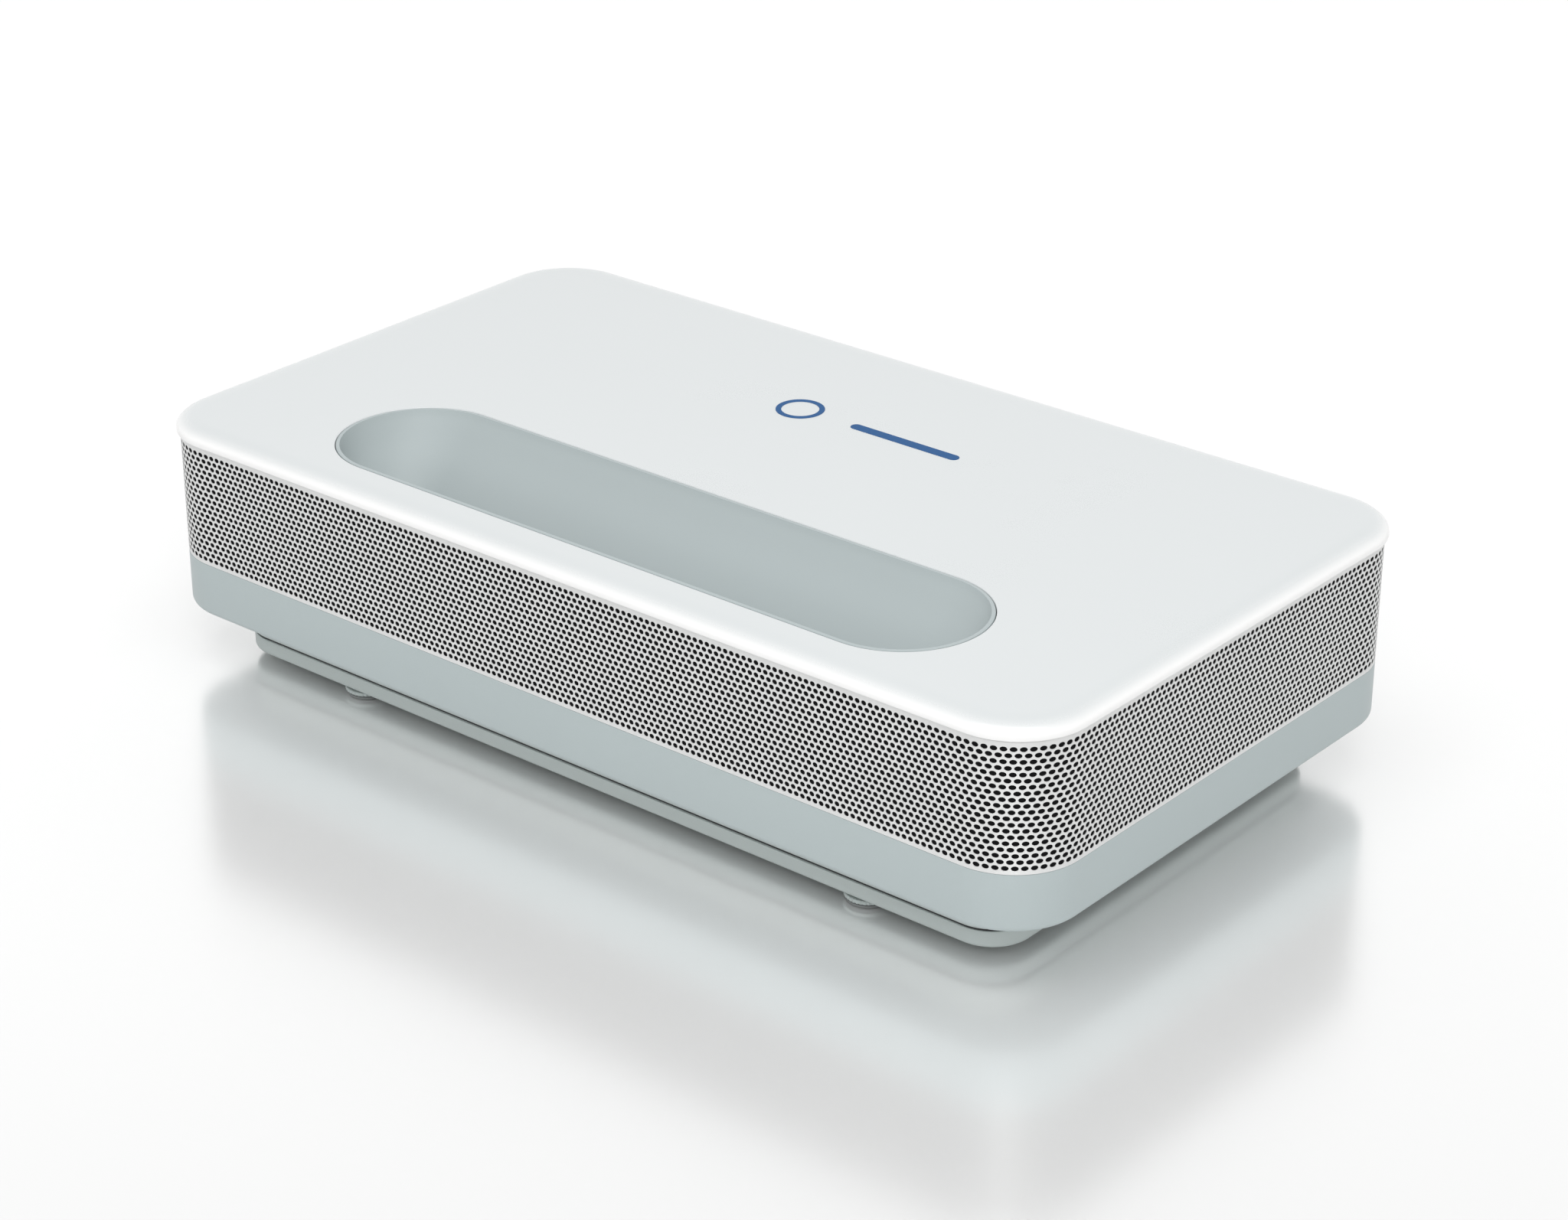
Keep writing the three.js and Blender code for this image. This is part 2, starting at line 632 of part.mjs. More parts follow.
/** Cast housing, open on top, with ports for the lens, the laser and the imaging chip. */
function engineHousing() {
  const { front, back, top, wall } = ENGINE;
  const outer = block([-engineHalf, front, deck], [engineHalf, back, top]);
  const low = [wall - engineHalf, front + wall, deck + wall];
  const inner = block(low, [engineHalf - wall, back - wall, top + 1]);
  const lensPort = barY(BARREL.neck + PLAY, front - 1, front + wall + 1, 0, LENS_Z);
  const laserLow = [-engineHalf - 1, laserMiddle - LASER_PORT.half, LASER_PORT.low];
  const laserHigh = [wall + 1 - engineHalf, laserMiddle + LASER_PORT.half, LASER_PORT.high];
  const chipLow = [-CHIP_PORT.half, back - wall - 1, CHIP_PORT.low];
  const chipPort = block(chipLow, [CHIP_PORT.half, back + 1, CHIP_PORT.high]);
  return cut(outer, inner, lensPort, block(laserLow, laserHigh), chipPort);
}

/** Laser bank: block of emitters with a stub that enters the housing's port. */
function laserModule() {
  const body = block([laserLeft, LASER.front, deck], [laserRight, LASER.back, LASER.top]);
  const half = LASER_PORT.half - 1;
  const low = [laserRight - 1, laserMiddle - half, LASER_PORT.low + 1];
  return join(body, block(low, [laserRight + 2, laserMiddle + half, LASER_PORT.high - 1]));
}

/** Comb of upright fins on a base plate, with the fins along X. */
function finStack({ x0, x1, y0, y1, z0, z1 }, fins, base) {
  const pitch = (y1 - y0 - SHEET) / (fins - 1);
  const plates = [];
  for (let i = 0; i < fins; i += 1) {
    const y = y0 + i * pitch;
    plates.push(block([x0, y, z0 + base - SEAM], [x1, y + SHEET, z1]));
  }
  return join(block([x0, y0, z0], [x1, y1, z0 + base]), ...plates);
}

const SINK_FINS = 14;
const SINK_BASE = 4;
const LASER_SINK = {
  x0: 14 - plinthWidth / 2,
  x1: 14 - plinthWidth / 2 + plinthWidth * 0.126,
  y0: -28,
  y1: driverFront - 10,
  z0: deck,
  z1: coverBottom - 12.3,
};
const PIPE = { radius: 3, spread: 12, steps: 16 };

/** Heat pipe that rises from the laser bank and runs over the fins. */
function heatPipe(sign) {
  const { radius, spread, steps } = PIPE;
  const { x0, x1, y1, z1 } = LASER_SINK;
  const y = (LASER.front + y1) / 2 + sign * spread;
  const low = LASER.top + radius + PLAY;
  const high = z1 + radius + PLAY;
  const route = new THREE.CurvePath();
  const start = new THREE.Vector3(laserRight - 8, y, low);
  const rise = new THREE.Vector3(laserLeft + 15, y, low);
  const corner = new THREE.Vector3(laserLeft + 1, y, low);
  const knee = new THREE.Vector3(laserLeft + 5, y, high);
  const run = new THREE.Vector3(x1 + 2, y, high);
  const end = new THREE.Vector3(x0 + 4, y, high);
  route.add(new THREE.LineCurve3(start, rise));
  route.add(new THREE.CubicBezierCurve3(rise, corner, knee, run));
  route.add(new THREE.LineCurve3(run, end));
  const section = new THREE.Shape();
  section.absarc(0, 0, radius, 0, 2 * Math.PI);
  return new THREE.ExtrudeGeometry(section, { steps, curveSegments: 4, extrudePath: route });
}

const PRESSURE_ANGLE = 20;
const TOOTH_THINNING = 0.06;
const TOOTH_TIP = 0.85;
const TOOTH_ROOT = 1.2;

/** Half-angle of a tooth at a radius, for involute flanks. */
function toothHalfAngle(teeth, radius) {
  const pitchRadius = (GEAR_MODULE * teeth) / 2;
  const pressure = THREE.MathUtils.degToRad(PRESSURE_ANGLE);
  const involute = (angle) => Math.tan(angle) - angle;
  const baseRadius = pitchRadius * Math.cos(pressure);
  const local = Math.acos(Math.min(1, baseRadius / radius));
  const half = Math.PI / (2 * teeth) - TOOTH_THINNING / pitchRadius;
  return half + involute(pressure) - involute(local);
}

/** Toothed outline about the origin; teeth are cut only on the first few pitches about angle 0. */
function gearOutline(teeth, cutTeeth, turn) {
  const pitchRadius = (GEAR_MODULE * teeth) / 2;
  const tip = pitchRadius + TOOTH_TIP * GEAR_MODULE;
  const root = pitchRadius - TOOTH_ROOT * GEAR_MODULE;
  const base = pitchRadius * Math.cos(THREE.MathUtils.degToRad(PRESSURE_ANGLE));
  const levels = [Math.max(root, base), pitchRadius, tip];
  const points = [];
  const add = (radius, angle) => {
    points.push(new THREE.Vector2(radius * Math.cos(angle), radius * Math.sin(angle)));
  };
  for (let i = 0; i < teeth; i += 1) {
    const centre = turn + (2 * Math.PI * i) / teeth;
    const away = Math.min(i, teeth - i);
    if (away > cutTeeth / 2) {
      add(root, centre);
      continue;
    }
    const halves = levels.map((radius) => [radius, toothHalfAngle(teeth, radius)]);
    add(root, centre - halves[0][1]);
    halves.forEach(([radius, half]) => add(radius, centre - half));
    halves.reverse().forEach(([radius, half]) => add(radius, centre + half));
    add(root, centre + halves[2][1]);
  }
  return new THREE.Shape(points);
}

/** Gear of the projector's focus drive between two heights. */
function gear(teeth, cutTeeth, turn, z0, z1) {
  const outline = gearOutline(teeth, cutTeeth, turn);
  const geometry = new THREE.ExtrudeGeometry(outline, { depth: z1 - z0, bevelEnabled: false });
  return geometry.translate(0, 0, z0);
}

/** Lens barrel: neck in the housing, seat for the focus ring and a front flange. */
function lensBarrel() {
  const { rear, neck, seat, flange, front, bore } = BARREL;
  const { neck: neckEnd, seat: seatEnd, lip } = BARREL_STEPS;
  return turned([
    [bore, rear],
    [neck, rear],
    [neck, neckEnd],
    [seat, neckEnd],
    [seat, seatEnd],
    [flange, seatEnd],
    [flange, front],
    [seat, front],
    [seat, front - lip],
    [bore, front - lip],
    [bore, rear],
  ]);
}

/** Height of the front lens at shares of its radius. */
const LENS_BULGE = [
  [1, 2],
  [0.7, 3.4],
  [0.35, 4.3],
  [0, 4.6],
];

/** Front lens element that sits in the barrel's front flange. */
function frontLens() {
  const radius = BARREL.seat - PLAY;
  const back = BARREL.front - BARREL_STEPS.lip + SEAM;
  const dome = LENS_BULGE.map(([share, rise]) => [radius * share, back + rise]);
  return turned([[0, back], [radius, back], ...dome]);
}

/** Focus ring with a toothed sector. */
function focusRing() {
  const z1 = GEAR_FROM + GEAR_WIDTH;
  const toothed = gear(RING_TEETH, RING_TEETH_CUT, 0, GEAR_FROM, z1);
  return cut(toothed, post(BARREL.seat + PLAY, GEAR_FROM - 1, z1 + 1, 0, 0, 32));
}

const gearDistance = (GEAR_MODULE * (RING_TEETH + PINION_TEETH)) / 2 + 0.1;
const motorRadius = gearDistance - BARREL_RADIUS - 2 * PLAY;
const MOTOR = { radius: motorRadius, length: 16, top: GEAR_FROM - 2, shaft: 1 };

/** Pinion with its shaft, which runs back into the motor. */
function focusPinion() {
  const teeth = PINION_TEETH;
  const toothed = gear(teeth, teeth, Math.PI / teeth, GEAR_FROM, GEAR_FROM + GEAR_WIDTH);
  const shaft = post(MOTOR.shaft, MOTOR.top - MOTOR.length / 2, GEAR_FROM + 1, 0, 0, 16);
  return join(toothed, shaft);
}

/** Focus motor can with a bore for the pinion's shaft. */
function focusMotor() {
  const { radius, length, top, shaft } = MOTOR;
  const can = post(radius, top - length, top, 0, 0, 24);
  return cut(can, post(shaft + PLAY, top - length / 2 - 2, top + 1, 0, 0, 16));
}

/** Projection lens, its focus ring and the focus drive, built about the lens axis. */
function lensGroup() {
  const group = new THREE.Group();
  group.position.set(0, 0, LENS_Z);
  group.rotation.x = Math.PI / 2;
  group.add(piece("lens_barrel", lensBarrel(), FINISH.aluminium));
  group.add(piece("front_lens", frontLens(), FINISH.lensGlass));
  group.add(piece("focus_ring", focusRing(), FINISH.brass));
  const drive = new THREE.Group();
  drive.position.set(gearDistance, 0, 0);
  drive.add(piece("focus_pinion", focusPinion(), FINISH.brass));
  drive.add(piece("focus_motor", focusMotor(), FINISH.steel));
  group.add(drive);
  return group;
}

const MIRROR = {
  halfWidth: plinthWidth * 0.15,
  low: shellFloorTop + 2,
  high: linerBottom - 4.5,
  front: 16 - rearFace,
  thickness: 5,
  hollow: 8,
};
const BRACKET_SHEET = 3;

/** Concave mirror strip: its face is hollowed along an arc and leans back. */
function mirrorBlank() {
  const { halfWidth, low, high, front, thickness, hollow } = MIRROR;
  const middle = (low + high) / 2;
  const outline = new THREE.Shape();
  outline.moveTo(front, low);
  outline.lineTo(front + hollow + thickness, low);
  outline.quadraticCurveTo(front + thickness - hollow / 2, middle, front + hollow, high);
  outline.lineTo(front, high);
  outline.closePath();
  const geometry = new THREE.ExtrudeGeometry(outline, {
    depth: 2 * halfWidth,
    bevelEnabled: false,
    curveSegments: 12,
  });
  return geometry.translate(0, 0, -halfWidth).applyMatrix4(new THREE.Matrix4().set(
    0, 0, 1, 0,
    1, 0, 0, 0,
    0, 1, 0, 0,
    0, 0, 0, 1,
  ));
}

/** Bracket: a back plate, two end cheeks and a foot on the chassis plate. */
function mirrorBracket() {
  const { halfWidth, high, front, hollow, thickness } = MIRROR;
  const back = front - PLAY;
  const side = halfWidth + PLAY;
  const edge = side + BRACKET_SHEET;
  const z0 = shellFloorTop;
  const cheekFront = front + hollow + thickness + 4;
  const plate = block([-edge, back - BRACKET_SHEET, z0], [edge, back, high]);
  const left = block([-edge, back - 1, z0], [-side, cheekFront, high - 4]);
  const right = block([side, back - 1, z0], [edge, cheekFront, high - 4]);
  return join(plate, left, right);
}

const CHIP_BOARD = { half: 24, low: deck + 3.4, high: boardBottom - 2 };
const CHIP = { half: 10, low: CHIP_PORT.low + 2, high: CHIP_PORT.high - 2, depth: 2 };
const CHIP_SINK = { half: 20, low: deck + 6.4, high: boardBottom - 4, depth: 20, base: 3, fins: 8 };

/** Chip board behind the housing. */
function chipBoard() {
  const y = ENGINE.back + PLAY;
  const { half, low, high } = CHIP_BOARD;
  const chip = block([-CHIP.half, y - CHIP.depth, CHIP.low], [CHIP.half, y + SLACK, CHIP.high]);
  return join(block([-half, y, low], [half, y + BOARD, high]), chip);
}

/** Chip cooler: a base plate with upright fins that point to the rear. */
function chipCooler() {
  const { half, low, high, depth, base, fins } = CHIP_SINK;
  const y0 = ENGINE.back + 2 * PLAY + BOARD;
  const pitch = (2 * half - SHEET) / (fins - 1);
  const plates = [];
  for (let i = 0; i < fins; i += 1) {
    const x = i * pitch - half;
    plates.push(block([x, y0 + base - SLACK, low], [x + SHEET, y0 + depth, high]));
  }
  return join(block([-half, y0, low], [half, y0 + base, high]), ...plates);
}

const LID_SPIGOT = { margin: 4, depth: 2 };

/** Lid of the housing, with a spigot that drops inside its walls. */
function engineLid() {
  const { front, back, top } = ENGINE;
  const { margin, depth } = LID_SPIGOT;
  const base = top + SEAM;
  const lid = block([-engineHalf, front, base], [engineHalf, back, base + WALL]);
  const low = [margin - engineHalf, front + margin, base - depth];
  return join(lid, block(low, [engineHalf - margin, back - margin, base + 1]));
}

/** Light engine: housing, lid, laser, coolers, chip board, lens and mirror. */
function lightEngine() {
  const group = new THREE.Group();
  group.add(piece("engine_housing", engineHousing(), FINISH.aluminium));
  group.add(piece("engine_lid", engineLid(), FINISH.aluminium));
  group.add(piece("laser_module", laserModule(), FINISH.brass));
  group.add(piece("laser_heatsink", finStack(LASER_SINK, SINK_FINS, SINK_BASE), FINISH.aluminium));
  group.add(piece("heat_pipe_1", heatPipe(-1), FINISH.copper));
  group.add(piece("heat_pipe_2", heatPipe(1), FINISH.copper));
  group.add(piece("chip_board", chipBoard(), FINISH.boardGreen));
  group.add(piece("chip_cooler", chipCooler(), FINISH.aluminium));
  group.add(lensGroup());
  group.add(piece("mirror", mirrorBlank(), FINISH.mirrorSilver));
  group.add(piece("mirror_bracket", mirrorBracket(), FINISH.zincSteel));
  return group;
}

// ---------------------------------------------------------------- boards

const SUPPLY = { x0: engineHalf + 10, x1: plinthWidth / 2 - 20, depth: 46, back: plinthDepth / 2 - 13 };
const CAPACITOR = { radius: 9, height: 28 };
const COIL = { radius: 7, height: 11 };
const WIRELESS = { width: 42, height: 26, can: 2.3 };

/** Power supply: board, transformer, capacitors and a cooling plate. */
function powerSupply() {
  const { x0, x1, depth, back } = SUPPLY;
  const y0 = back - depth;
  const board = block([x0, y0, deck], [x1, back, deck + BOARD]);
  const top = deck + BOARD - SEAM;
  const at = (share) => x0 + share * (x1 - x0);
  const can = (y) => post(CAPACITOR.radius, top, top + CAPACITOR.height, at(0.14), y, 16);
  const transformer = block([at(0.33), y0 + 8, top], [at(0.6), y0 + 34, top + 26]);
  const coolingPlate = block([at(0.67), y0 + 4, top], [at(0.7), y0 + 42, top + 30]);
  const filter = block([at(0.77), y0 + 6, top], [at(0.94), y0 + 22, top + 16]);
  return join(board, transformer, coolingPlate, filter, can(y0 + 13), can(y0 + 33));
}

/** Laser driver board with three coils. */
function driverBoard() {
  const x0 = 18 - plinthWidth / 2;
  const x1 = -engineHalf - 14;
  const top = deck + BOARD - SEAM;
  const coils = [0.2, 0.47, 0.74].map((share) => {
    const x = x0 + share * (x1 - x0);
    return post(COIL.radius, top, top + COIL.height, x, driverFront + DRIVER_DEPTH / 2, 16);
  });
  return join(block([x0, driverFront, deck], [x1, driverBack, deck + BOARD]), ...coils);
}

/** Wireless board with a shield can, upright near the rear left corner. */
function wirelessBoard() {
  const { width, height, can } = WIRELESS;
  const [x0, y0, z0] = [61 - bodyWidth / 2, rearFace - 24, shellBottom + 34.5];
  const board = block([x0, y0, z0], [x0 + width, y0 + SHEET, z0 + height]);
  const canLow = [x0 + 6, y0 + 1, z0 + 6];
  return join(board, block(canLow, [x0 + 24, y0 + SHEET + can, z0 + height - 6]));
}

/** All loose boards. */
function boards() {
  const group = new THREE.Group();
  group.add(piece("power_supply", powerSupply(), FINISH.boardGreen));
  group.add(piece("laser_driver_board", driverBoard(), FINISH.boardGreen));
  group.add(piece("wireless_board", wirelessBoard(), FINISH.boardGreen));
  return group;
}

// ---------------------------------------------------------------- fans

const fanSize = coverBottom - shellFloorTop - 6.3;
const FAN = {
  depth: 15,
  radius: 6,
  bore: fanSize * 0.4715,
  blade: fanSize * 0.4515,
  hub: fanSize * 0.2,
  pin: 3,
  plate: 2,
  blades: 7,
  lean: 0.62,
  chord: 11,
};
const FAN_ARM = { count: 3, half: 2, turn: 0.4 };

/** Fan frame: square ring, three arms and a bearing post. */
function fanFrame() {
  const { depth, radius, bore, hub, pin, plate } = FAN;
  const frame = cut(slab(fanSize, fanSize, radius, 0, depth), post(bore, -1, depth + 1));
  const arms = [];
  for (let i = 0; i < FAN_ARM.count; i += 1) {
    const arm = block([0, -FAN_ARM.half, 0], [bore + 1, FAN_ARM.half, plate]);
    arms.push(arm.rotateZ((i * 2 * Math.PI) / FAN_ARM.count + FAN_ARM.turn));
  }
  return join(frame, post(hub - 1, 0, plate), post(pin, 1, depth - 4, 0, 0, 12), ...arms);
}

/** Fan rotor: a hub cup on the bearing post and leaning blades. */
function fanRotor() {
  const { depth, hub, blade, pin, plate, blades, lean, chord } = FAN;
  const z0 = plate + PLAY;
  const z1 = depth - 1;
  const reach = blade - hub + 2;
  const wings = [];
  for (let i = 0; i < blades; i += 1) {
    const wing = new THREE.BoxGeometry(reach, chord, SHEET);
    wing.rotateX(lean).translate(hub - 2 + reach / 2, 0, (z0 + z1) / 2);
    wings.push(wing.rotateZ((i * 2 * Math.PI) / blades));
  }
  const hubBody = cut(post(hub, z0, z1), post(pin + PLAY, z0 - 1, depth - 4 + PLAY, 0, 0, 12));
  return join(hubBody, ...wings.map((wing) => cut(wing, post(hub - 1, -5, depth + 5))));
}

const FAN_STAND_OFF = 9;

/** One fan against the side grille; its axis runs along X. */
function fan(side, sign) {
  const group = new THREE.Group();
  const inner = bodyWidth / 2 - SHEET - FAN_STAND_OFF - FAN.depth;
  group.position.set(sign * inner, 0, shellFloorTop + PLAY + fanSize / 2);
  group.rotation.y = (sign * Math.PI) / 2;
  group.add(piece(`fan_${side}_frame`, fanFrame(), FINISH.darkPlastic));
  group.add(piece(`fan_${side}_rotor`, fanRotor(), FINISH.darkPlastic));
  return group;
}

// ---------------------------------------------------------------- speakers

const SPEAKER = {
  inner: bodyWidth / 2 - 57,
  outer: bodyWidth / 2 - 13,
  front: 14 - rearFace,
  rear: -fanSize / 2 - 7,
  top: coverBottom - 3.3,
  wall: 2.4,
  cone: 19,
};
const speakerZ = SPEAKER.top - SPEAKER.cone - 6.45;

/** Speaker box with a round opening towards the viewer. */
function speakerBox(sign) {
  const { inner, outer, front, rear, top, wall, cone } = SPEAKER;
  const [a, b] = sign > 0 ? [inner, outer] : [-outer, -inner];
  const z0 = shellFloorTop;
  const box = block([a, front, z0], [b, rear, top]);
  const hollow = block([a + wall, front + wall, z0 + wall], [b - wall, rear - wall, top - wall]);
  const hole = barY(cone + PLAY, front - 1, front + wall + 1, (a + b) / 2, speakerZ);
  return cut(box, hollow, hole);
}

/** Loudspeaker: flange, hollow cone, basket and magnet, turned about its own axis. */
function speakerDriver() {
  const { cone } = SPEAKER;
  const profile = [
    [0, 1.5],
    [6, 2.5],
    [8, 1],
    [cone - 4, 3.5],
    [cone - 2, 4.5],
    [cone + 2.5, 3.2],
    [cone + 2.5, 0.4],
    [cone, 0.4],
    [cone, -3],
    [13, -12],
    [13, -22],
    [0, -22],
  ];
  return turned(profile.reverse());
}

/** Speaker box and its driver on one side. */
function speaker(side, sign) {
  const group = new THREE.Group();
  group.add(piece(`speaker_box_${side}`, speakerBox(sign), FINISH.darkPlastic));
  const driver = piece(`speaker_driver_${side}`, speakerDriver(), FINISH.darkPlastic);
  driver.position.set((sign * (SPEAKER.inner + SPEAKER.outer)) / 2, SPEAKER.front, speakerZ);
  driver.rotation.x = Math.PI / 2;
  group.add(driver);
  return group;
}

// ---------------------------------------------------------------- whole projector

const projector = new THREE.Group();
projector.name = "home_projector";
projector.add(casing());
projector.add(lightWell());
projector.add(underside());
projector.add(rearConnections());
projector.add(lightEngine());
projector.add(boards());
projector.add(fan("left", -1));
projector.add(fan("right", 1));
projector.add(speaker("left", -1));
projector.add(speaker("right", 1));

export default projector;
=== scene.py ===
"""Looks of an ultra-short-throw home projector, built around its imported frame.

Every length is in metres. +X is the viewer's right, -Y is the viewer's side and +Z is up.
"""

import json
import logging
import math
from dataclasses import dataclass
from enum import Enum
from typing import Any, Iterable, Optional, Sequence

import bmesh
import bpy
from mathutils import Matrix, Quaternion, Vector
from mathutils.geometry import tessellate_polygon


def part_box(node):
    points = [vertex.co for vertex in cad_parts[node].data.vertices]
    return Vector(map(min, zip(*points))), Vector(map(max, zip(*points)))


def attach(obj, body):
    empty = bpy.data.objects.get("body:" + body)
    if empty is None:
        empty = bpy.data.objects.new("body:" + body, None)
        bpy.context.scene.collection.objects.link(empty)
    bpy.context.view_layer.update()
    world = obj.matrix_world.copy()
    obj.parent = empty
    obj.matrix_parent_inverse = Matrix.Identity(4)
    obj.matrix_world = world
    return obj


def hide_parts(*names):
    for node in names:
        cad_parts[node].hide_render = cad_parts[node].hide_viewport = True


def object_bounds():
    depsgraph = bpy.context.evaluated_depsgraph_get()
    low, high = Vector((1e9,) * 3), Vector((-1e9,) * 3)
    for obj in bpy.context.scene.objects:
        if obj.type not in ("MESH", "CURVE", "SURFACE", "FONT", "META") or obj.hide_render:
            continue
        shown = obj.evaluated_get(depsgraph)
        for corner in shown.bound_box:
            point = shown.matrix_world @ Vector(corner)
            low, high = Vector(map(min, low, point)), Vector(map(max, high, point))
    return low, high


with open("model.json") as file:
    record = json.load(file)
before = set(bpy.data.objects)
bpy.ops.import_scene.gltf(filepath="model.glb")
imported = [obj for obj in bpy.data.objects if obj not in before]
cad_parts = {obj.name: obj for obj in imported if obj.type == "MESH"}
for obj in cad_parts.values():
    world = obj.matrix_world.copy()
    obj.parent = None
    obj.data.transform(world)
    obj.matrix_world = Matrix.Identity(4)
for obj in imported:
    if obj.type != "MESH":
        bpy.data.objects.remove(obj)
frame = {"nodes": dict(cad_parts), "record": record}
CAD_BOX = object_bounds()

LOG = logging.getLogger("projector")
MM = 0.001
CASE = "case"
CORNERS = ("front_left", "front_right", "rear_left", "rear_right")

Colour = tuple[float, float, float]
Point = tuple[float, float]


# -------------------- node writing


class Closing(Enum):
    """How a stack of rings ends."""

    LOOP = "the last ring joins the first"
    CAPS = "both end rings are filled"
    OPEN = "both end rings are left for other faces"


class Value:
    """A number on a node socket; its operators add Math nodes."""

    def __init__(self, tree: "NodeTree", socket: bpy.types.NodeSocket) -> None:
        """Wrap a socket.

        Args:
            tree: The tree that new nodes go into.
            socket: The output socket that carries the number.
        """
        self.tree = tree
        self.socket = socket

    def _math(self, operation: str, *terms: Any) -> "Value":
        """Add one Math node over the given terms."""
        return self.tree.math(operation, *terms)

    def __add__(self, other: Any) -> "Value":
        """Sum."""
        return self._math("ADD", self, other)

    def __radd__(self, other: Any) -> "Value":
        """Reflected sum."""
        return self._math("ADD", other, self)

    def __sub__(self, other: Any) -> "Value":
        """Difference."""
        return self._math("SUBTRACT", self, other)

    def __rsub__(self, other: Any) -> "Value":
        """Reflected difference."""
        return self._math("SUBTRACT", other, self)

    def __mul__(self, other: Any) -> "Value":
        """Product."""
        return self._math("MULTIPLY", self, other)

    def __rmul__(self, other: Any) -> "Value":
        """Reflected product."""
        return self._math("MULTIPLY", other, self)

    def __truediv__(self, other: Any) -> "Value":
        """Quotient."""
        return self._math("DIVIDE", self, other)

    def __rtruediv__(self, other: Any) -> "Value":
        """Reflected quotient."""
        return self._math("DIVIDE", other, self)

    def __mod__(self, other: Any) -> "Value":
        """Remainder that stays positive."""
        return self._math("FLOORED_MODULO", self, other)

    def floor(self) -> "Value":
        """Whole number below."""
        return self._math("FLOOR", self)

    def size(self) -> "Value":
        """Absolute value."""
        return self._math("ABSOLUTE", self)

    def between(self, low: float, high: float) -> "Value":
        """Rise smoothly from 0 at low to 1 at high.

        Args:
            low: The number that gives 0.
            high: The number that gives 1.

        Returns:
            The eased share.
        """
        settings = {"interpolation_type": "SMOOTHSTEP"}
        inputs = {"Value": self, "From Min": low, "From Max": high}
        return Value(self.tree, self.tree.node("ShaderNodeMapRange", settings, inputs).outputs[0])


class NodeTree:
    """A node tree with one way to add any node."""

    def __init__(self, tree: bpy.types.NodeTree) -> None:
        """Hold the Blender tree that nodes go into."""
        self.tree = tree

    def node(self, kind: str, settings: dict[str, Any], inputs: dict[Any, Any]) -> bpy.types.Node:
        """Add a node.

        Args:
            kind: Blender's type name of the node.
            settings: Properties, set first.
            inputs: Value or link for each socket, by identifier, name or index.

        Returns:
            The new node.
        """
        made = self.tree.nodes.new(kind)
        for key, value in settings.items():
            setattr(made, key, value)
        for key, value in inputs.items():
            self.feed(self._socket(made, key), value)
        return made

    @staticmethod
    def result(node: bpy.types.Node, key: str) -> bpy.types.NodeSocket:
        """Find an output socket by identifier."""
        return next(socket for socket in node.outputs if socket.identifier == key)

    def feed(self, socket: bpy.types.NodeSocket, value: Any) -> None:
        """Link or set one input socket."""
        if isinstance(value, Value):
            self.tree.links.new(value.socket, socket)
        elif isinstance(value, bpy.types.NodeSocket):
            self.tree.links.new(value, socket)
        else:
            socket.default_value = value

    def math(self, operation: str, *terms: Any) -> Value:
        """Add a Math node.

        Args:
            operation: The node's operation.
            *terms: Numbers or values, in order.

        Returns:
            Its result.
        """
        inputs = dict(enumerate(terms))
        return Value(self, self.node("ShaderNodeMath", {"operation": operation}, inputs).outputs[0])

    @staticmethod
    def _socket(node: bpy.types.Node, key: Any) -> bpy.types.NodeSocket:
        """Find an input socket by identifier, name or index."""
        if isinstance(key, int):
            return node.inputs[key]
        for socket in node.inputs:
            if socket.identifier == key:
                return socket
        return node.inputs[key]


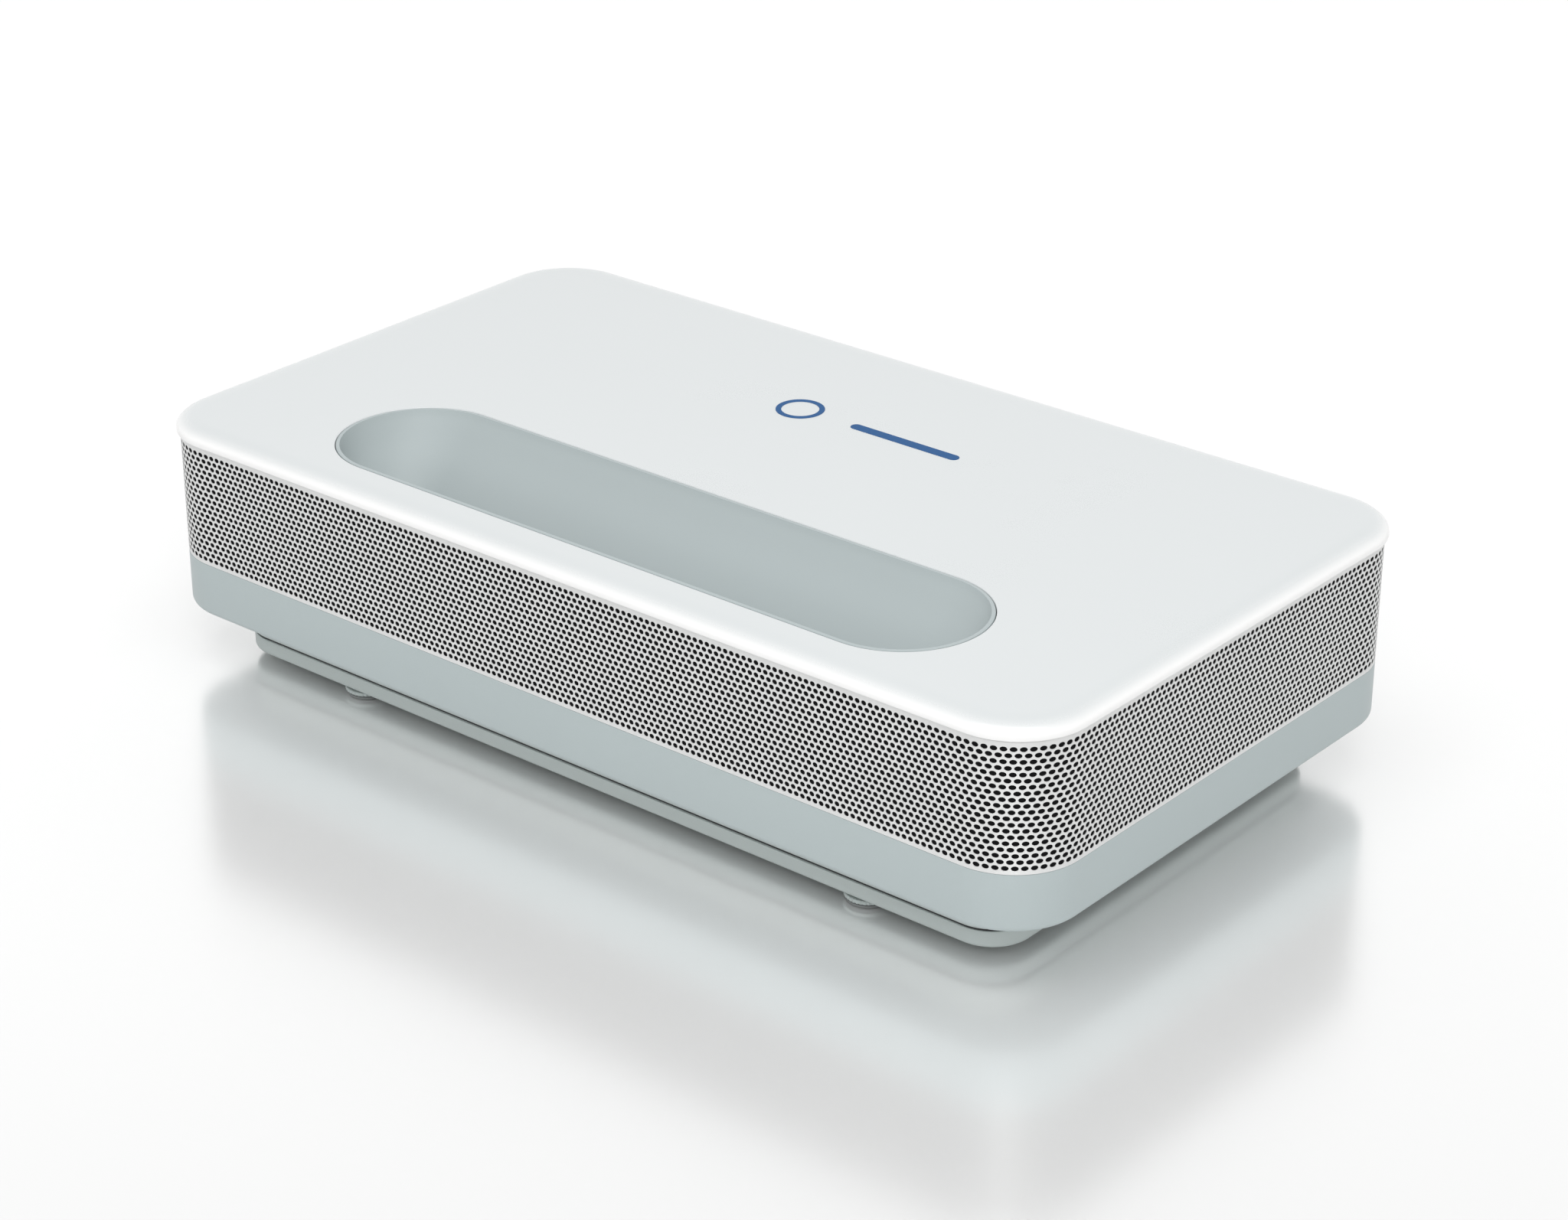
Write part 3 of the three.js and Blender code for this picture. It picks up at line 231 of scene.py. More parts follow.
class Shader(NodeTree):
    """The node tree of one material, read in object coordinates."""

    def __init__(self, name: str) -> None:
        """Make an empty material.

        Args:
            name: The material's name.
        """
        self.material = bpy.data.materials.new(name)
        self.material.use_nodes = True
        super().__init__(self.material.node_tree)
        self.tree.nodes.clear()
        self.place = self.node("ShaderNodeTexCoord", {}, {}).outputs["Object"]
        parts = self.node("ShaderNodeSeparateXYZ", {}, {"Vector": self.place})
        self.x, self.y, self.z = (Value(self, parts.outputs[axis]) for axis in "XYZ")

    def noise(self, size: float, detail: float = 2.0, stretch: Colour = (1.0, 1.0, 1.0)) -> Value:
        """Noise between 0 and 1.

        Args:
            size: Length of one blotch.
            detail: How many finer octaves it has.
            stretch: How many times longer a blotch is along each axis.

        Returns:
            The noise.
        """
        scale = tuple(1.0 / (size * share) for share in stretch)
        mapped = self.node("ShaderNodeMapping", {}, {"Vector": self.place, "Scale": scale})
        inputs = {"Vector": mapped.outputs[0], "Scale": 1.0, "Detail": detail}
        return Value(self, self.node("ShaderNodeTexNoise", {}, inputs).outputs["Fac"])

    def speckle(self, size: float) -> Value:
        """Distance to the nearest of many scattered points, in cells.

        Args:
            size: Distance between the points.

        Returns:
            The distance.
        """
        inputs = {"Vector": self.place, "Scale": 1.0 / size}
        return Value(self, self.node("ShaderNodeTexVoronoi", {}, inputs).outputs["Distance"])

    def mix(self, share: Any, first: Any, second: Any) -> bpy.types.NodeSocket:
        """Mix two colours.

        Args:
            share: How much of the second colour shows.
            first: Colour or link.
            second: Colour or link.

        Returns:
            The mixed colour's socket.
        """
        one, two = ((*c, 1.0) if isinstance(c, tuple) else c for c in (first, second))
        inputs = {"Factor_Float": share, "A_Color": one, "B_Color": two}
        return self.result(self.node("ShaderNodeMix", {"data_type": "RGBA"}, inputs), "Result_Color")

    def bump(self, height: Value, distance: float) -> bpy.types.NodeSocket:
        """Turn a height into a normal.

        Args:
            height: Height in units of the distance.
            distance: What a height of 1 measures.

        Returns:
            The normal's socket.
        """
        inputs = {"Height": height, "Distance": distance, "Strength": 1.0}
        return self.node("ShaderNodeBump", {}, inputs).outputs["Normal"]

    def principled(self, inputs: dict[str, Any]) -> bpy.types.Material:
        """Finish the material with a Principled shader.

        Args:
            inputs: Values or links of its sockets.

        Returns:
            The finished material.
        """
        surface = self.node("ShaderNodeBsdfPrincipled", {}, inputs)
        self.node("ShaderNodeOutputMaterial", {}, {"Surface": surface.outputs[0]})
        return self.material


# -------------------- finishes


@dataclass(frozen=True)
class Moulded:
    """Moulded plastic: spark-eroded grain, faint flow mottling and handling sheen; below an optional height
    the colour is lightened as a painted highlight on the edge.
    """

    name: str
    colour: Colour
    roughness: float = 0.45
    grain: float = 0.03 * MM
    grain_size: float = 0.5 * MM
    mottle: float = 0.03
    coat: float = 0.0
    # Height below which the edge gets its painted highlight, and that painted highlight's pale colour.
    painted_highlight_below: Optional[float] = None
    painted_highlight_colour: Colour = (0.8, 0.8, 0.795)

    def material(self) -> bpy.types.Material:
        """Build the material."""
        shader = Shader(self.name)
        flow = shader.noise(90 * MM, 3.0)
        fine = shader.noise(self.grain_size, 4.0)
        pits = shader.speckle(self.grain_size * 1.7)
        waves = shader.noise(7 * MM, 1.0)
        dark = tuple(c * (1.0 - 2.0 * self.mottle) for c in self.colour)
        base = shader.mix(flow, dark, self.colour)
        spotted = shader.mix((1.0 - pits.between(0.0, 0.5)) * (0.9 * self.mottle), base, (0.02, 0.02, 0.02))
        sheen = self.roughness + (flow - 0.5) * 0.12 + (fine - 0.5) * 0.08
        # Painted highlight: just below the given height the base colour is lightened towards a pale tone,
        # standing in for the bright band that lamps make on the soft edge; the roughness drop there is real
        # gloss.
        if self.painted_highlight_below is not None:
            edge = 1.0 - shader.z.between(self.painted_highlight_below - 3.6 * MM, self.painted_highlight_below - 0.1 * MM)
            sheen = sheen - edge * 0.1
            spotted = shader.mix(edge, spotted, self.painted_highlight_colour)
        height = fine * 0.7 + pits * 0.3 + waves * 0.35
        inputs = {
            "Base Color": spotted,
            "Roughness": sheen,
            "IOR": 1.47,
            "Coat Weight": self.coat,
            "Coat Roughness": 0.12,
            "Normal": shader.bump(height, self.grain),
        }
        return shader.principled(inputs)


@dataclass(frozen=True)
class Metal:
    """Bare or plated metal with rolling lines, cloudy sheen and tiny pits."""

    name: str
    colour: Colour
    roughness: float = 0.35
    metallic: float = 1.0
    line: Colour = (60.0, 1.0, 1.0)
    line_size: float = 0.25 * MM
    depth: float = 0.004 * MM

    def material(self) -> bpy.types.Material:
        """Build the material."""
        shader = Shader(self.name)
        lines = shader.noise(self.line_size, 3.0, self.line)
        cloud = shader.noise(22 * MM, 3.0)
        pits = shader.speckle(1.1 * MM)
        dull = tuple(c * 0.86 for c in self.colour)
        base = shader.mix(cloud * 0.7 + lines * 0.3, dull, self.colour)
        sheen = self.roughness + (lines - 0.5) * 0.16 + (cloud - 0.5) * 0.14
        height = lines * 0.8 + pits.between(0.0, 0.25) * 0.4
        inputs = {
            "Base Color": base,
            "Metallic": self.metallic,
            "Roughness": sheen,
            "Normal": shader.bump(height, self.depth),
        }
        return shader.principled(inputs)


@dataclass(frozen=True)
class Rubber:
    """Matt rubber with dust caught in its grain."""

    name: str = "foot_rubber"
    colour: Colour = (0.2, 0.21, 0.21)
    dust: Colour = (0.3, 0.3, 0.29)

    def material(self) -> bpy.types.Material:
        """Build the material."""
        shader = Shader(self.name)
        fine = shader.noise(0.6 * MM, 4.0)
        patches = shader.noise(9 * MM, 3.0)
        dusty = patches.between(0.5, 0.8) * fine.between(0.4, 0.7)
        inputs = {
            "Base Color": shader.mix(dusty * 0.5, self.colour, self.dust),
            "Roughness": 0.82 + (fine - 0.5) * 0.2,
            "Normal": shader.bump(fine, 0.06 * MM),
        }
        return shader.principled(inputs)


@dataclass(frozen=True)
class Glass:
    """Clear coated glass with a few specks of dust."""

    name: str
    colour: Colour
    coat_tint: Colour = (0.75, 0.8, 1.0)

    def material(self) -> bpy.types.Material:
        """Build the material."""
        shader = Shader(self.name)
        dust = shader.speckle(2.2 * MM)
        film = shader.noise(30 * MM, 2.0)
        inputs = {
            "Base Color": shader.mix(film * 0.3, self.colour, self.coat_tint),
            "Roughness": 0.02 + (1.0 - dust.between(0.0, 0.12)) * 0.3 + film.between(0.6, 0.9) * 0.04,
            "Transmission Weight": 1.0,
            "IOR": 1.5,
        }
        return shader.principled(inputs)


@dataclass(frozen=True)
class BoardCoat:
    """Green board coating with traces under it."""

    name: str = "board_coating"
    colour: Colour = (0.01, 0.075, 0.03)
    trace: Colour = (0.02, 0.13, 0.05)
    pitch: float = 2.5 * MM

    def material(self) -> bpy.types.Material:
        """Build the material."""
        shader = Shader(self.name)
        zone = shader.noise(14 * MM, 0.0)
        across = (shader.x / self.pitch + zone * 3.0) % 1.0
        along = (shader.y / self.pitch + zone * 3.0) % 1.0
        track = across.between(0.62, 0.66) * zone.between(0.48, 0.5)
        other = along.between(0.62, 0.66) * (1.0 - zone.between(0.48, 0.5))
        copper = track + other
        inputs = {
            "Base Color": shader.mix(copper, self.colour, self.trace),
            "Roughness": 0.34 + shader.noise(2 * MM) * 0.12,
            "Coat Weight": 0.4,
            "Normal": shader.bump(copper, 0.03 * MM),
        }
        return shader.principled(inputs)


@dataclass(frozen=True)
class Print:
    """Blue print ink: a thin film with soft edges of gloss and tiny pinholes."""

    name: str = "print_blue"
    colour: Colour = (0.0, 0.08, 0.25)

    def material(self) -> bpy.types.Material:
        """Build the material."""
        shader = Shader(self.name)
        cover = shader.noise(1.2 * MM, 4.0)
        holes = 1.0 - shader.speckle(0.8 * MM).between(0.0, 0.12)
        tone = shader.mix(cover, tuple(c * 0.8 for c in self.colour), self.colour)
        inputs = {
            "Base Color": shader.mix(holes * 0.04, tone, (0.1, 0.25, 0.4)),
            "Roughness": 0.5 + (cover - 0.5) * 0.2,
            "Specular IOR Level": 0.3,
            "Normal": shader.bump(cover, 0.01 * MM),
        }
        return shader.principled(inputs)


@dataclass(frozen=True)
class Weave:
    """Black woven dust screen."""

    name: str = "dust_screen_weave"
    colour: Colour = (0.006, 0.006, 0.007)
    pitch: float = 0.35 * MM

    def material(self) -> bpy.types.Material:
        """Build the material."""
        shader = Shader(self.name)
        upright = ((shader.x + shader.y) / self.pitch % 1.0 - 0.5).size()
        level = (shader.z / self.pitch % 1.0 - 0.5).size()
        thread = upright.between(0.15, 0.3) * level.between(0.15, 0.3)
        inputs = {
            "Base Color": shader.mix(thread, self.colour, tuple(c * 0.3 for c in self.colour)),
            "Roughness": 0.9 - thread * 0.1,
            "Specular IOR Level": 0.1,
            "Normal": shader.bump(1.0 - thread, 0.1 * MM),
        }
        return shader.principled(inputs)


@dataclass(frozen=True)
class StudioFloor:
    """Pale polished floor that mirrors softly."""

    name: str = "studio_floor"
    colour: Colour = (0.985, 0.985, 0.985)
    roughness: float = 0.2
    mirror: float = 0.6

    def material(self) -> bpy.types.Material:
        """Build the material."""
        shader = Shader(self.name)
        cloud = shader.noise(400 * MM, 2.0)
        inputs = {
            "Base Color": shader.mix(cloud * 0.15, self.colour, (0.9, 0.905, 0.905)),
            "Roughness": self.roughness + (cloud - 0.5) * 0.03,
            "Metallic": self.mirror,
        }
        return shader.principled(inputs)


class Finishes:
    """Every finish of the projector, built once and looked up by the record's slot names."""

    def __init__(self, cover_top: float) -> None:
        """Build the finishes.

        Args:
            cover_top: Height of the cover's flat face, below which the cover's edge gets a painted
                highlight.
        """
        pale = (0.61, 0.635, 0.64)
        # The last argument starts the cover edge's painted highlight just below the flat face.
        white = Moulded("cover_white", pale, 0.3, 0.012 * MM, 0.35 * MM, 0.012, 0.25, cover_top)
        grey = Moulded("shell_grey", (0.39, 0.445, 0.45), 0.42, 0.02 * MM, 0.45 * MM, 0.02)
        dark = Moulded("dark_plastic", (0.02, 0.021, 0.023), 0.5, 0.03 * MM, 0.5 * MM, 0.04)
        even = (1.0, 1.0, 1.0)
        looks = {
            "cover_white": white,
            "liner_grey": Moulded("liner_grey", (0.39, 0.44, 0.445), 0.5, 0.015 * MM, 0.4 * MM, 0.015),
            "window_glass": Glass("window_glass", (0.93, 0.95, 0.97)),
            "mark_blue": Print(),
            "grille_metal": Metal("grille_metal", (0.7, 0.705, 0.7), 0.36, 0.3, (1.0, 1.0, 30.0)),
            "shell_grey": grey,
            "plinth_grey": Moulded("plinth_grey", (0.46, 0.51, 0.5), 0.45, 0.025 * MM, 0.5 * MM, 0.025),
            "dark_plastic": dark,
            "rubber": Rubber(),
            "steel": Metal("plated_steel", (0.42, 0.43, 0.45), 0.3, 1.0, even),
            "zinc_steel": Metal("zinc_steel", (0.58, 0.6, 0.6), 0.34, 1.0, (40.0, 1.0, 1.0)),
            "aluminium": Metal("bare_aluminium", (0.6, 0.61, 0.62), 0.38, 1.0, (1.0, 40.0, 1.0)),
            "copper": Metal("copper_pipe", (0.62, 0.26, 0.13), 0.28, 1.0, (30.0, 1.0, 1.0)),
            "board": BoardCoat(),
            "mirror_silver": Metal("mirror_silver", (0.93, 0.94, 0.95), 0.03, 1.0, even, 2 * MM, 0.0),
            "lens_glass": Glass("lens_glass", (0.85, 0.93, 1.0), (0.7, 0.6, 1.0)),
            "brass": Metal("brass", (0.66, 0.5, 0.2), 0.3, 1.0, even),
            "contact_gold": Metal("contact_gold", (0.83, 0.6, 0.22), 0.22, 1.0, (1.0, 8.0, 1.0)),
            "dust_screen": Weave(),
            "frit": Moulded("window_frit", (0.008, 0.008, 0.009), 0.2, 0.0, 0.5 * MM, 0.02),
        }
        self._made = {slot: look.material() for slot, look in looks.items()}

    def __getitem__(self, slot: str) -> bpy.types.Material:
        """Look up a finish by its slot name."""
        return self._made[slot]


# -------------------- mesh making


@dataclass(frozen=True)
class Outline:
    """Rounded rectangle with a fixed set of points, so that its rings can be joined."""

    width: float
    depth: float
    radius: float
    centre: Point = (0.0, 0.0)
    arc_steps: int = 12
    side_steps: int = 1

    def ring(self, inset: float = 0.0, shift: float = 0.0) -> list[Point]:
        """Points of the outline, anticlockwise from the right end of the rear side.

        Args:
            inset: How far the outline is drawn in.
            shift: How far it is moved along Y.

        Returns:
            The points.
        """
        points: list[Point] = []
        for quarter in range(4):
            x, y, reach = self._corner(quarter, inset, shift)
            for step in range(self.arc_steps + 1):
                angle = (quarter + step / self.arc_steps) * math.pi / 2
                points.append((x + reach * math.cos(angle), y + reach * math.sin(angle)))
            x, y, reach = self._corner((quarter + 1) % 4, inset, shift)
            angle = (quarter + 1) * math.pi / 2
            start, end = points[-1], (x + reach * math.cos(angle), y + reach * math.sin(angle))
            for step in range(1, self.side_steps):
                share = step / self.side_steps
                points.append(tuple(a + (b - a) * share for a, b in zip(start, end)))
        return points

    def _corner(self, quarter: int, inset: float, shift: float) -> tuple[float, float, float]:
        """Middle and radius of one corner's arc, which never shrinks past a small radius."""
        sx, sy = ((1, 1), (-1, 1), (-1, -1), (1, -1))[quarter]
        reach = max(self.radius - inset, min(self.radius, 0.5 * MM))
        x = self.centre[0] + sx * (self.width / 2 - inset - reach)
        return x, self.centre[1] + sy * (self.depth / 2 - inset - reach) + shift, reach


@dataclass(frozen=True)
class Level:
    """One ring of a stack: how far it is drawn in, its height, and how far it moves along Y."""

    inset: float
    z: float
    shift: float = 0.0


def round_over(
    inset: float, z: float, width: float, drop: float, steps: int, upward: bool = True
) -> list[Level]:
    """Levels of a quarter ellipse at an outer edge.

    Args:
        inset: Inset of the upright wall that the edge starts from.
        z: Height of the flat face that the edge meets.
        width: How far the edge reaches inwards.
        drop: How far it reaches down (or up, at a lower edge).
        steps: Number of facets.
        upward: True for an upper edge from wall to face, False for a lower edge from face to wall.

    Returns:
        The levels in order of rising height.
    """
    sign = -1.0 if upward else 1.0
    levels = []
    for step in range(steps + 1):
        turn = step / steps * math.pi / 2
        levels.append(Level(inset + width * (1 - math.cos(turn)), z + sign * drop * (1 - math.sin(turn))))
    return levels if upward else levels[::-1]


class Builder:
    """Collects faces of one closed mesh and turns them into a finished piece."""

    def __init__(self) -> None:
        """Start an empty mesh."""
        self.mesh = bmesh.new()

    def stack(self, outline: Outline, levels: Sequence[Level], closing: Closing) -> None:
        """Add a stack of rings.

        Args:
            outline: The outline that every ring follows.
            levels: The rings, in order.
            closing: How the stack ends.
        """
        rings = [
            [self.mesh.verts.new((x, y, level.z)) for x, y in outline.ring(level.inset, level.shift)]
            for level in levels
        ]
        self.join_rings(rings, closing)

    def join_rings(self, rings: list[list[bmesh.types.BMVert]], closing: Closing) -> None:
        """Join rings of vertices by quads.

        Args:
            rings: The rings, each with the same number of vertices.
            closing: How the stack ends.
        """
        pairs = list(zip(rings, rings[1:]))
        if closing is Closing.LOOP:
            pairs.append((rings[-1], rings[0]))
        count = len(rings[0])
        for low, high in pairs:
            for i in range(count):
                j = (i + 1) % count
                self.mesh.faces.new((low[i], low[j], high[j], high[i]))
        if closing is Closing.CAPS:
            self.mesh.faces.new(rings[0][::-1])
            self.mesh.faces.new(rings[-1])

    def flat(self, z: float, outer: Sequence[Point], holes: Iterable[Sequence[Point]] = ()) -> None:
        """Fill a level face that may have holes.

        Args:
            z: The face's height.
            outer: Its outer ring.
            holes: The rings of its holes.
        """
        rings = [[Vector((x, y, 0.0)) for x, y in ring] for ring in (outer, *holes)]
        verts = [self.mesh.verts.new((p.x, p.y, z)) for ring in rings for p in ring]
        for corners in tessellate_polygon(rings):
            if len(set(corners)) == 3:
                self.mesh.faces.new([verts[i] for i in corners])

    def plate(self, outer: Outline, holes: Sequence[Outline], low: float, high: float, soft: float) -> None:
        """Add a level plate with holes and a softened upper edge.

        Args:
            outer: Its outline.
            holes: Outlines of its holes.
            low: Height of its lower face.
            high: Height of its upper face.
            soft: Radius of its upper edges.
        """
        self.flat(low, outer.ring(), [hole.ring() for hole in holes])
        self.flat(high, outer.ring(soft), [hole.ring(-soft) for hole in holes])
        for outline, sign in ((outer, 1.0), *((hole, -1.0) for hole in holes)):
            levels = [Level(0.0, low), Level(0.0, high - soft), Level(sign * 0.3 * soft, high - 0.3 * soft)]
            self.stack(outline, [*levels, Level(sign * soft, high)], Closing.OPEN)

    def lathe(self, profile: Sequence[tuple], steps: int = 48, centre: Point = (0.0, 0.0)) -> None:
        """Turn a profile about an upright axis.

        Args:
            profile: Radius and height of each ring, and optionally the number and depth of its lobes;
                closed on the axis or on itself.
            steps: Number of facets round.
            centre: Where the axis stands.
        """
        rings = []
        for radius, z, *lobed in profile:
            count, depth = lobed or (1, 0.0)
            ring = []
            for i in range(steps):
                angle = 2 * math.pi * i / steps
                reach = max(radius + depth * math.cos(count * angle), 1e-7)
                ring.append((centre[0] + reach * math.cos(angle), centre[1] + reach * math.sin(angle), z))
            rings.append([self.mesh.verts.new(point) for point in ring])
        self.join_rings(rings, Closing.LOOP)

    def block(
        self, low: Sequence[float], high: Sequence[float], bevel: float = 0.0, segments: int = 2
    ) -> None:
        """Add a box, with its edges rounded over if asked.

        Args:
            low: Its lowest corner.
            high: Its highest corner.
            bevel: Radius of its edges.
            segments: Facets of each edge.
        """
        made = bmesh.ops.create_cube(self.mesh, size=1.0)["verts"]
        for vert in made:
            vert.co = Vector([lo if c < 0 else hi for c, lo, hi in zip(vert.co, low, high)])
        if bevel > 0.0:
            edges = list({edge for vert in made for edge in vert.link_edges})
            bmesh.ops.bevel(
                self.mesh, geom=edges, offset=bevel, segments=segments, affect="EDGES", profile=0.5
            )

    def place(self, matrix: Matrix) -> None:
        """Move everything made so far."""
        bmesh.ops.transform(self.mesh, matrix=matrix, verts=self.mesh.verts)

    def piece(self, name: str, material: bpy.types.Material, sharp: float = 35.0) -> bpy.types.Object:
        """Close the seams, face everything outwards and make the object.

        Args:
            name: The piece's name.
            material: Its finish.
            sharp: Angle in degrees past which an edge stays sharp.

        Returns:
            The object, at the origin.
        """
        bmesh.ops.remove_doubles(self.mesh, verts=self.mesh.verts, dist=0.002 * MM)
        bmesh.ops.dissolve_degenerate(self.mesh, edges=self.mesh.edges, dist=0.001 * MM)
        bmesh.ops.recalc_face_normals(self.mesh, faces=self.mesh.faces)
        data = bpy.data.meshes.new(name)
        self.mesh.to_mesh(data)
        self.mesh.free()
        data.materials.append(material)
        data.shade_smooth()
        data.set_sharp_from_angle(angle=math.radians(sharp))
        made = bpy.data.objects.new(name, data)
        bpy.context.scene.collection.objects.link(made)
        return made


class GeometryTree(NodeTree):
    """A Geometry Nodes tree with named inputs, run once and turned into a plain mesh."""

    SOCKETS = {float: "NodeSocketFloat", int: "NodeSocketInt"}

    def __init__(self, name: str, sizes: dict[str, Any]) -> None:
        """Make the tree's group and its inputs.

        Args:
            name: The group's name.
            sizes: Value of each named input: a number or an object.
        """
        self.group = bpy.data.node_groups.new(name, "GeometryNodeTree")
        super().__init__(self.group)
        self.sizes = sizes
        self.keys: dict[str, str] = {}
        for label, value in sizes.items():
            kind = self.SOCKETS.get(type(value), "NodeSocketObject")
            socket = self.group.interface.new_socket(label, in_out="INPUT", socket_type=kind)
            self.keys[label] = socket.identifier
        self.group.interface.new_socket("Geometry", in_out="OUTPUT", socket_type="NodeSocketGeometry")
        self.entry = self.tree.nodes.new("NodeGroupInput")

    def size(self, label: str) -> Value:
        """Read one of the tree's named inputs."""
        return Value(self, self.entry.outputs[label])

    def shape(self, label: str) -> bpy.types.NodeSocket:
        """Read the geometry of one of the tree's objects."""
        inputs = {"Object": self.entry.outputs[label]}
        return self.node("GeometryNodeObjectInfo", {}, inputs).outputs["Geometry"]

    def vector(self, x: Any, y: Any, z: Any) -> bpy.types.NodeSocket:
        """Combine three numbers."""
        return self.node("ShaderNodeCombineXYZ", {}, {"X": x, "Y": y, "Z": z}).outputs[0]

    def points(self, count: Any) -> bpy.types.NodeSocket:
        """A run of points to be moved into place."""
        return self.node("GeometryNodeMeshLine", {}, {"Count": count}).outputs[0]

    def position(self) -> tuple[Value, Value]:
        """X and Y of every point."""
        here = self.node("GeometryNodeInputPosition", {}, {}).outputs[0]
        flat = self.node("ShaderNodeSeparateXYZ", {}, {"Vector": here})
        return Value(self, flat.outputs["X"]), Value(self, flat.outputs["Y"])

    def above(self, value: Value, limit: float) -> bpy.types.NodeSocket:
        """Whether a number is above a limit."""
        settings = {"data_type": "FLOAT", "operation": "GREATER_THAN"}
        return self.node("FunctionNodeCompare", settings, {0: value, 1: limit}).outputs[0]

    def index(self) -> Value:
        """Number of the point."""
        return Value(self, self.node("GeometryNodeInputIndex", {}, {}).outputs[0])

    def moved(self, geometry: bpy.types.NodeSocket, position: bpy.types.NodeSocket) -> bpy.types.NodeSocket:
        """Set every point's position."""
        inputs = {"Geometry": geometry, "Position": position}
        return self.node("GeometryNodeSetPosition", {}, inputs).outputs[0]

    def copies(self, points: bpy.types.NodeSocket, shape: bpy.types.NodeSocket) -> bpy.types.NodeSocket:
        """Place a shape on every point and make the copies real.

        Args:
            points: The points.
            shape: What is copied.

        Returns:
            The real copies.
        """
        inputs = {"Points": points, "Instance": shape}
        placed = self.node("GeometryNodeInstanceOnPoints", {}, inputs).outputs[0]
        return self.node("GeometryNodeRealizeInstances", {}, {"Geometry": placed}).outputs[0]

    def run(self, name: str, result: bpy.types.NodeSocket, material: bpy.types.Material) -> bpy.types.Object:
        """End the tree, run it and keep its result as a plain mesh.

        Args:
            name: The piece's name.
            result: The geometry to keep.
            material: Its finish.

        Returns:
            The object, at the origin.
        """
        real = self.node("GeometryNodeRealizeInstances", {}, {"Geometry": result}).outputs[0]
        inputs = {"Geometry": real, "Material": material}
        dressed = self.node("GeometryNodeSetMaterial", {}, inputs).outputs[0]
        self.node("NodeGroupOutput", {}, {"Geometry": dressed})
        maker = bpy.data.objects.new(name, bpy.data.meshes.new(name))
        bpy.context.scene.collection.objects.link(maker)
        modifier = maker.modifiers.new("pattern", "NODES")
        modifier.node_group = self.group
        for label, value in self.sizes.items():
            modifier[self.keys[label]] = value
        return settle(maker, material)


def settle(made: bpy.types.Object, material: bpy.types.Material, sharp: float = 35.0) -> bpy.types.Object:
    """Apply an object's modifiers and keep the plain mesh.

    Args:
        made: The object with its modifiers.
        material: Its finish.
        sharp: Angle in degrees past which an edge stays sharp.

    Returns:
        The same object, without modifiers.
    """
    graph = bpy.context.evaluated_depsgraph_get()
    data = bpy.data.meshes.new_from_object(made.evaluated_get(graph))
    made.modifiers.clear()
    made.data = data
    data.materials.clear()
    data.materials.append(material)
    data.shade_smooth()
    data.set_sharp_from_angle(angle=math.radians(sharp))
    return made


def keep(made: bpy.types.Object, body: str, slot: str, *nodes: str) -> bpy.types.Object:
    """Hand a finished piece over to the frame.

    Args:
        made: The piece.
        body: The body it rides on.
        slot: The record's slot of its finish; not used.
        *nodes: CAD nodes that it stands for.

    Returns:
        The piece.
    """
    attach(made, body)
    if nodes:
        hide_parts(*nodes)
    LOG.info("%s: %d faces on %s", made.name, len(made.data.polygons), body)
    return made


def drop(*helpers: bpy.types.Object) -> None:
    """Remove objects that only helped to make others."""
    for made in helpers:
        bpy.data.objects.remove(made)


# -------------------- case


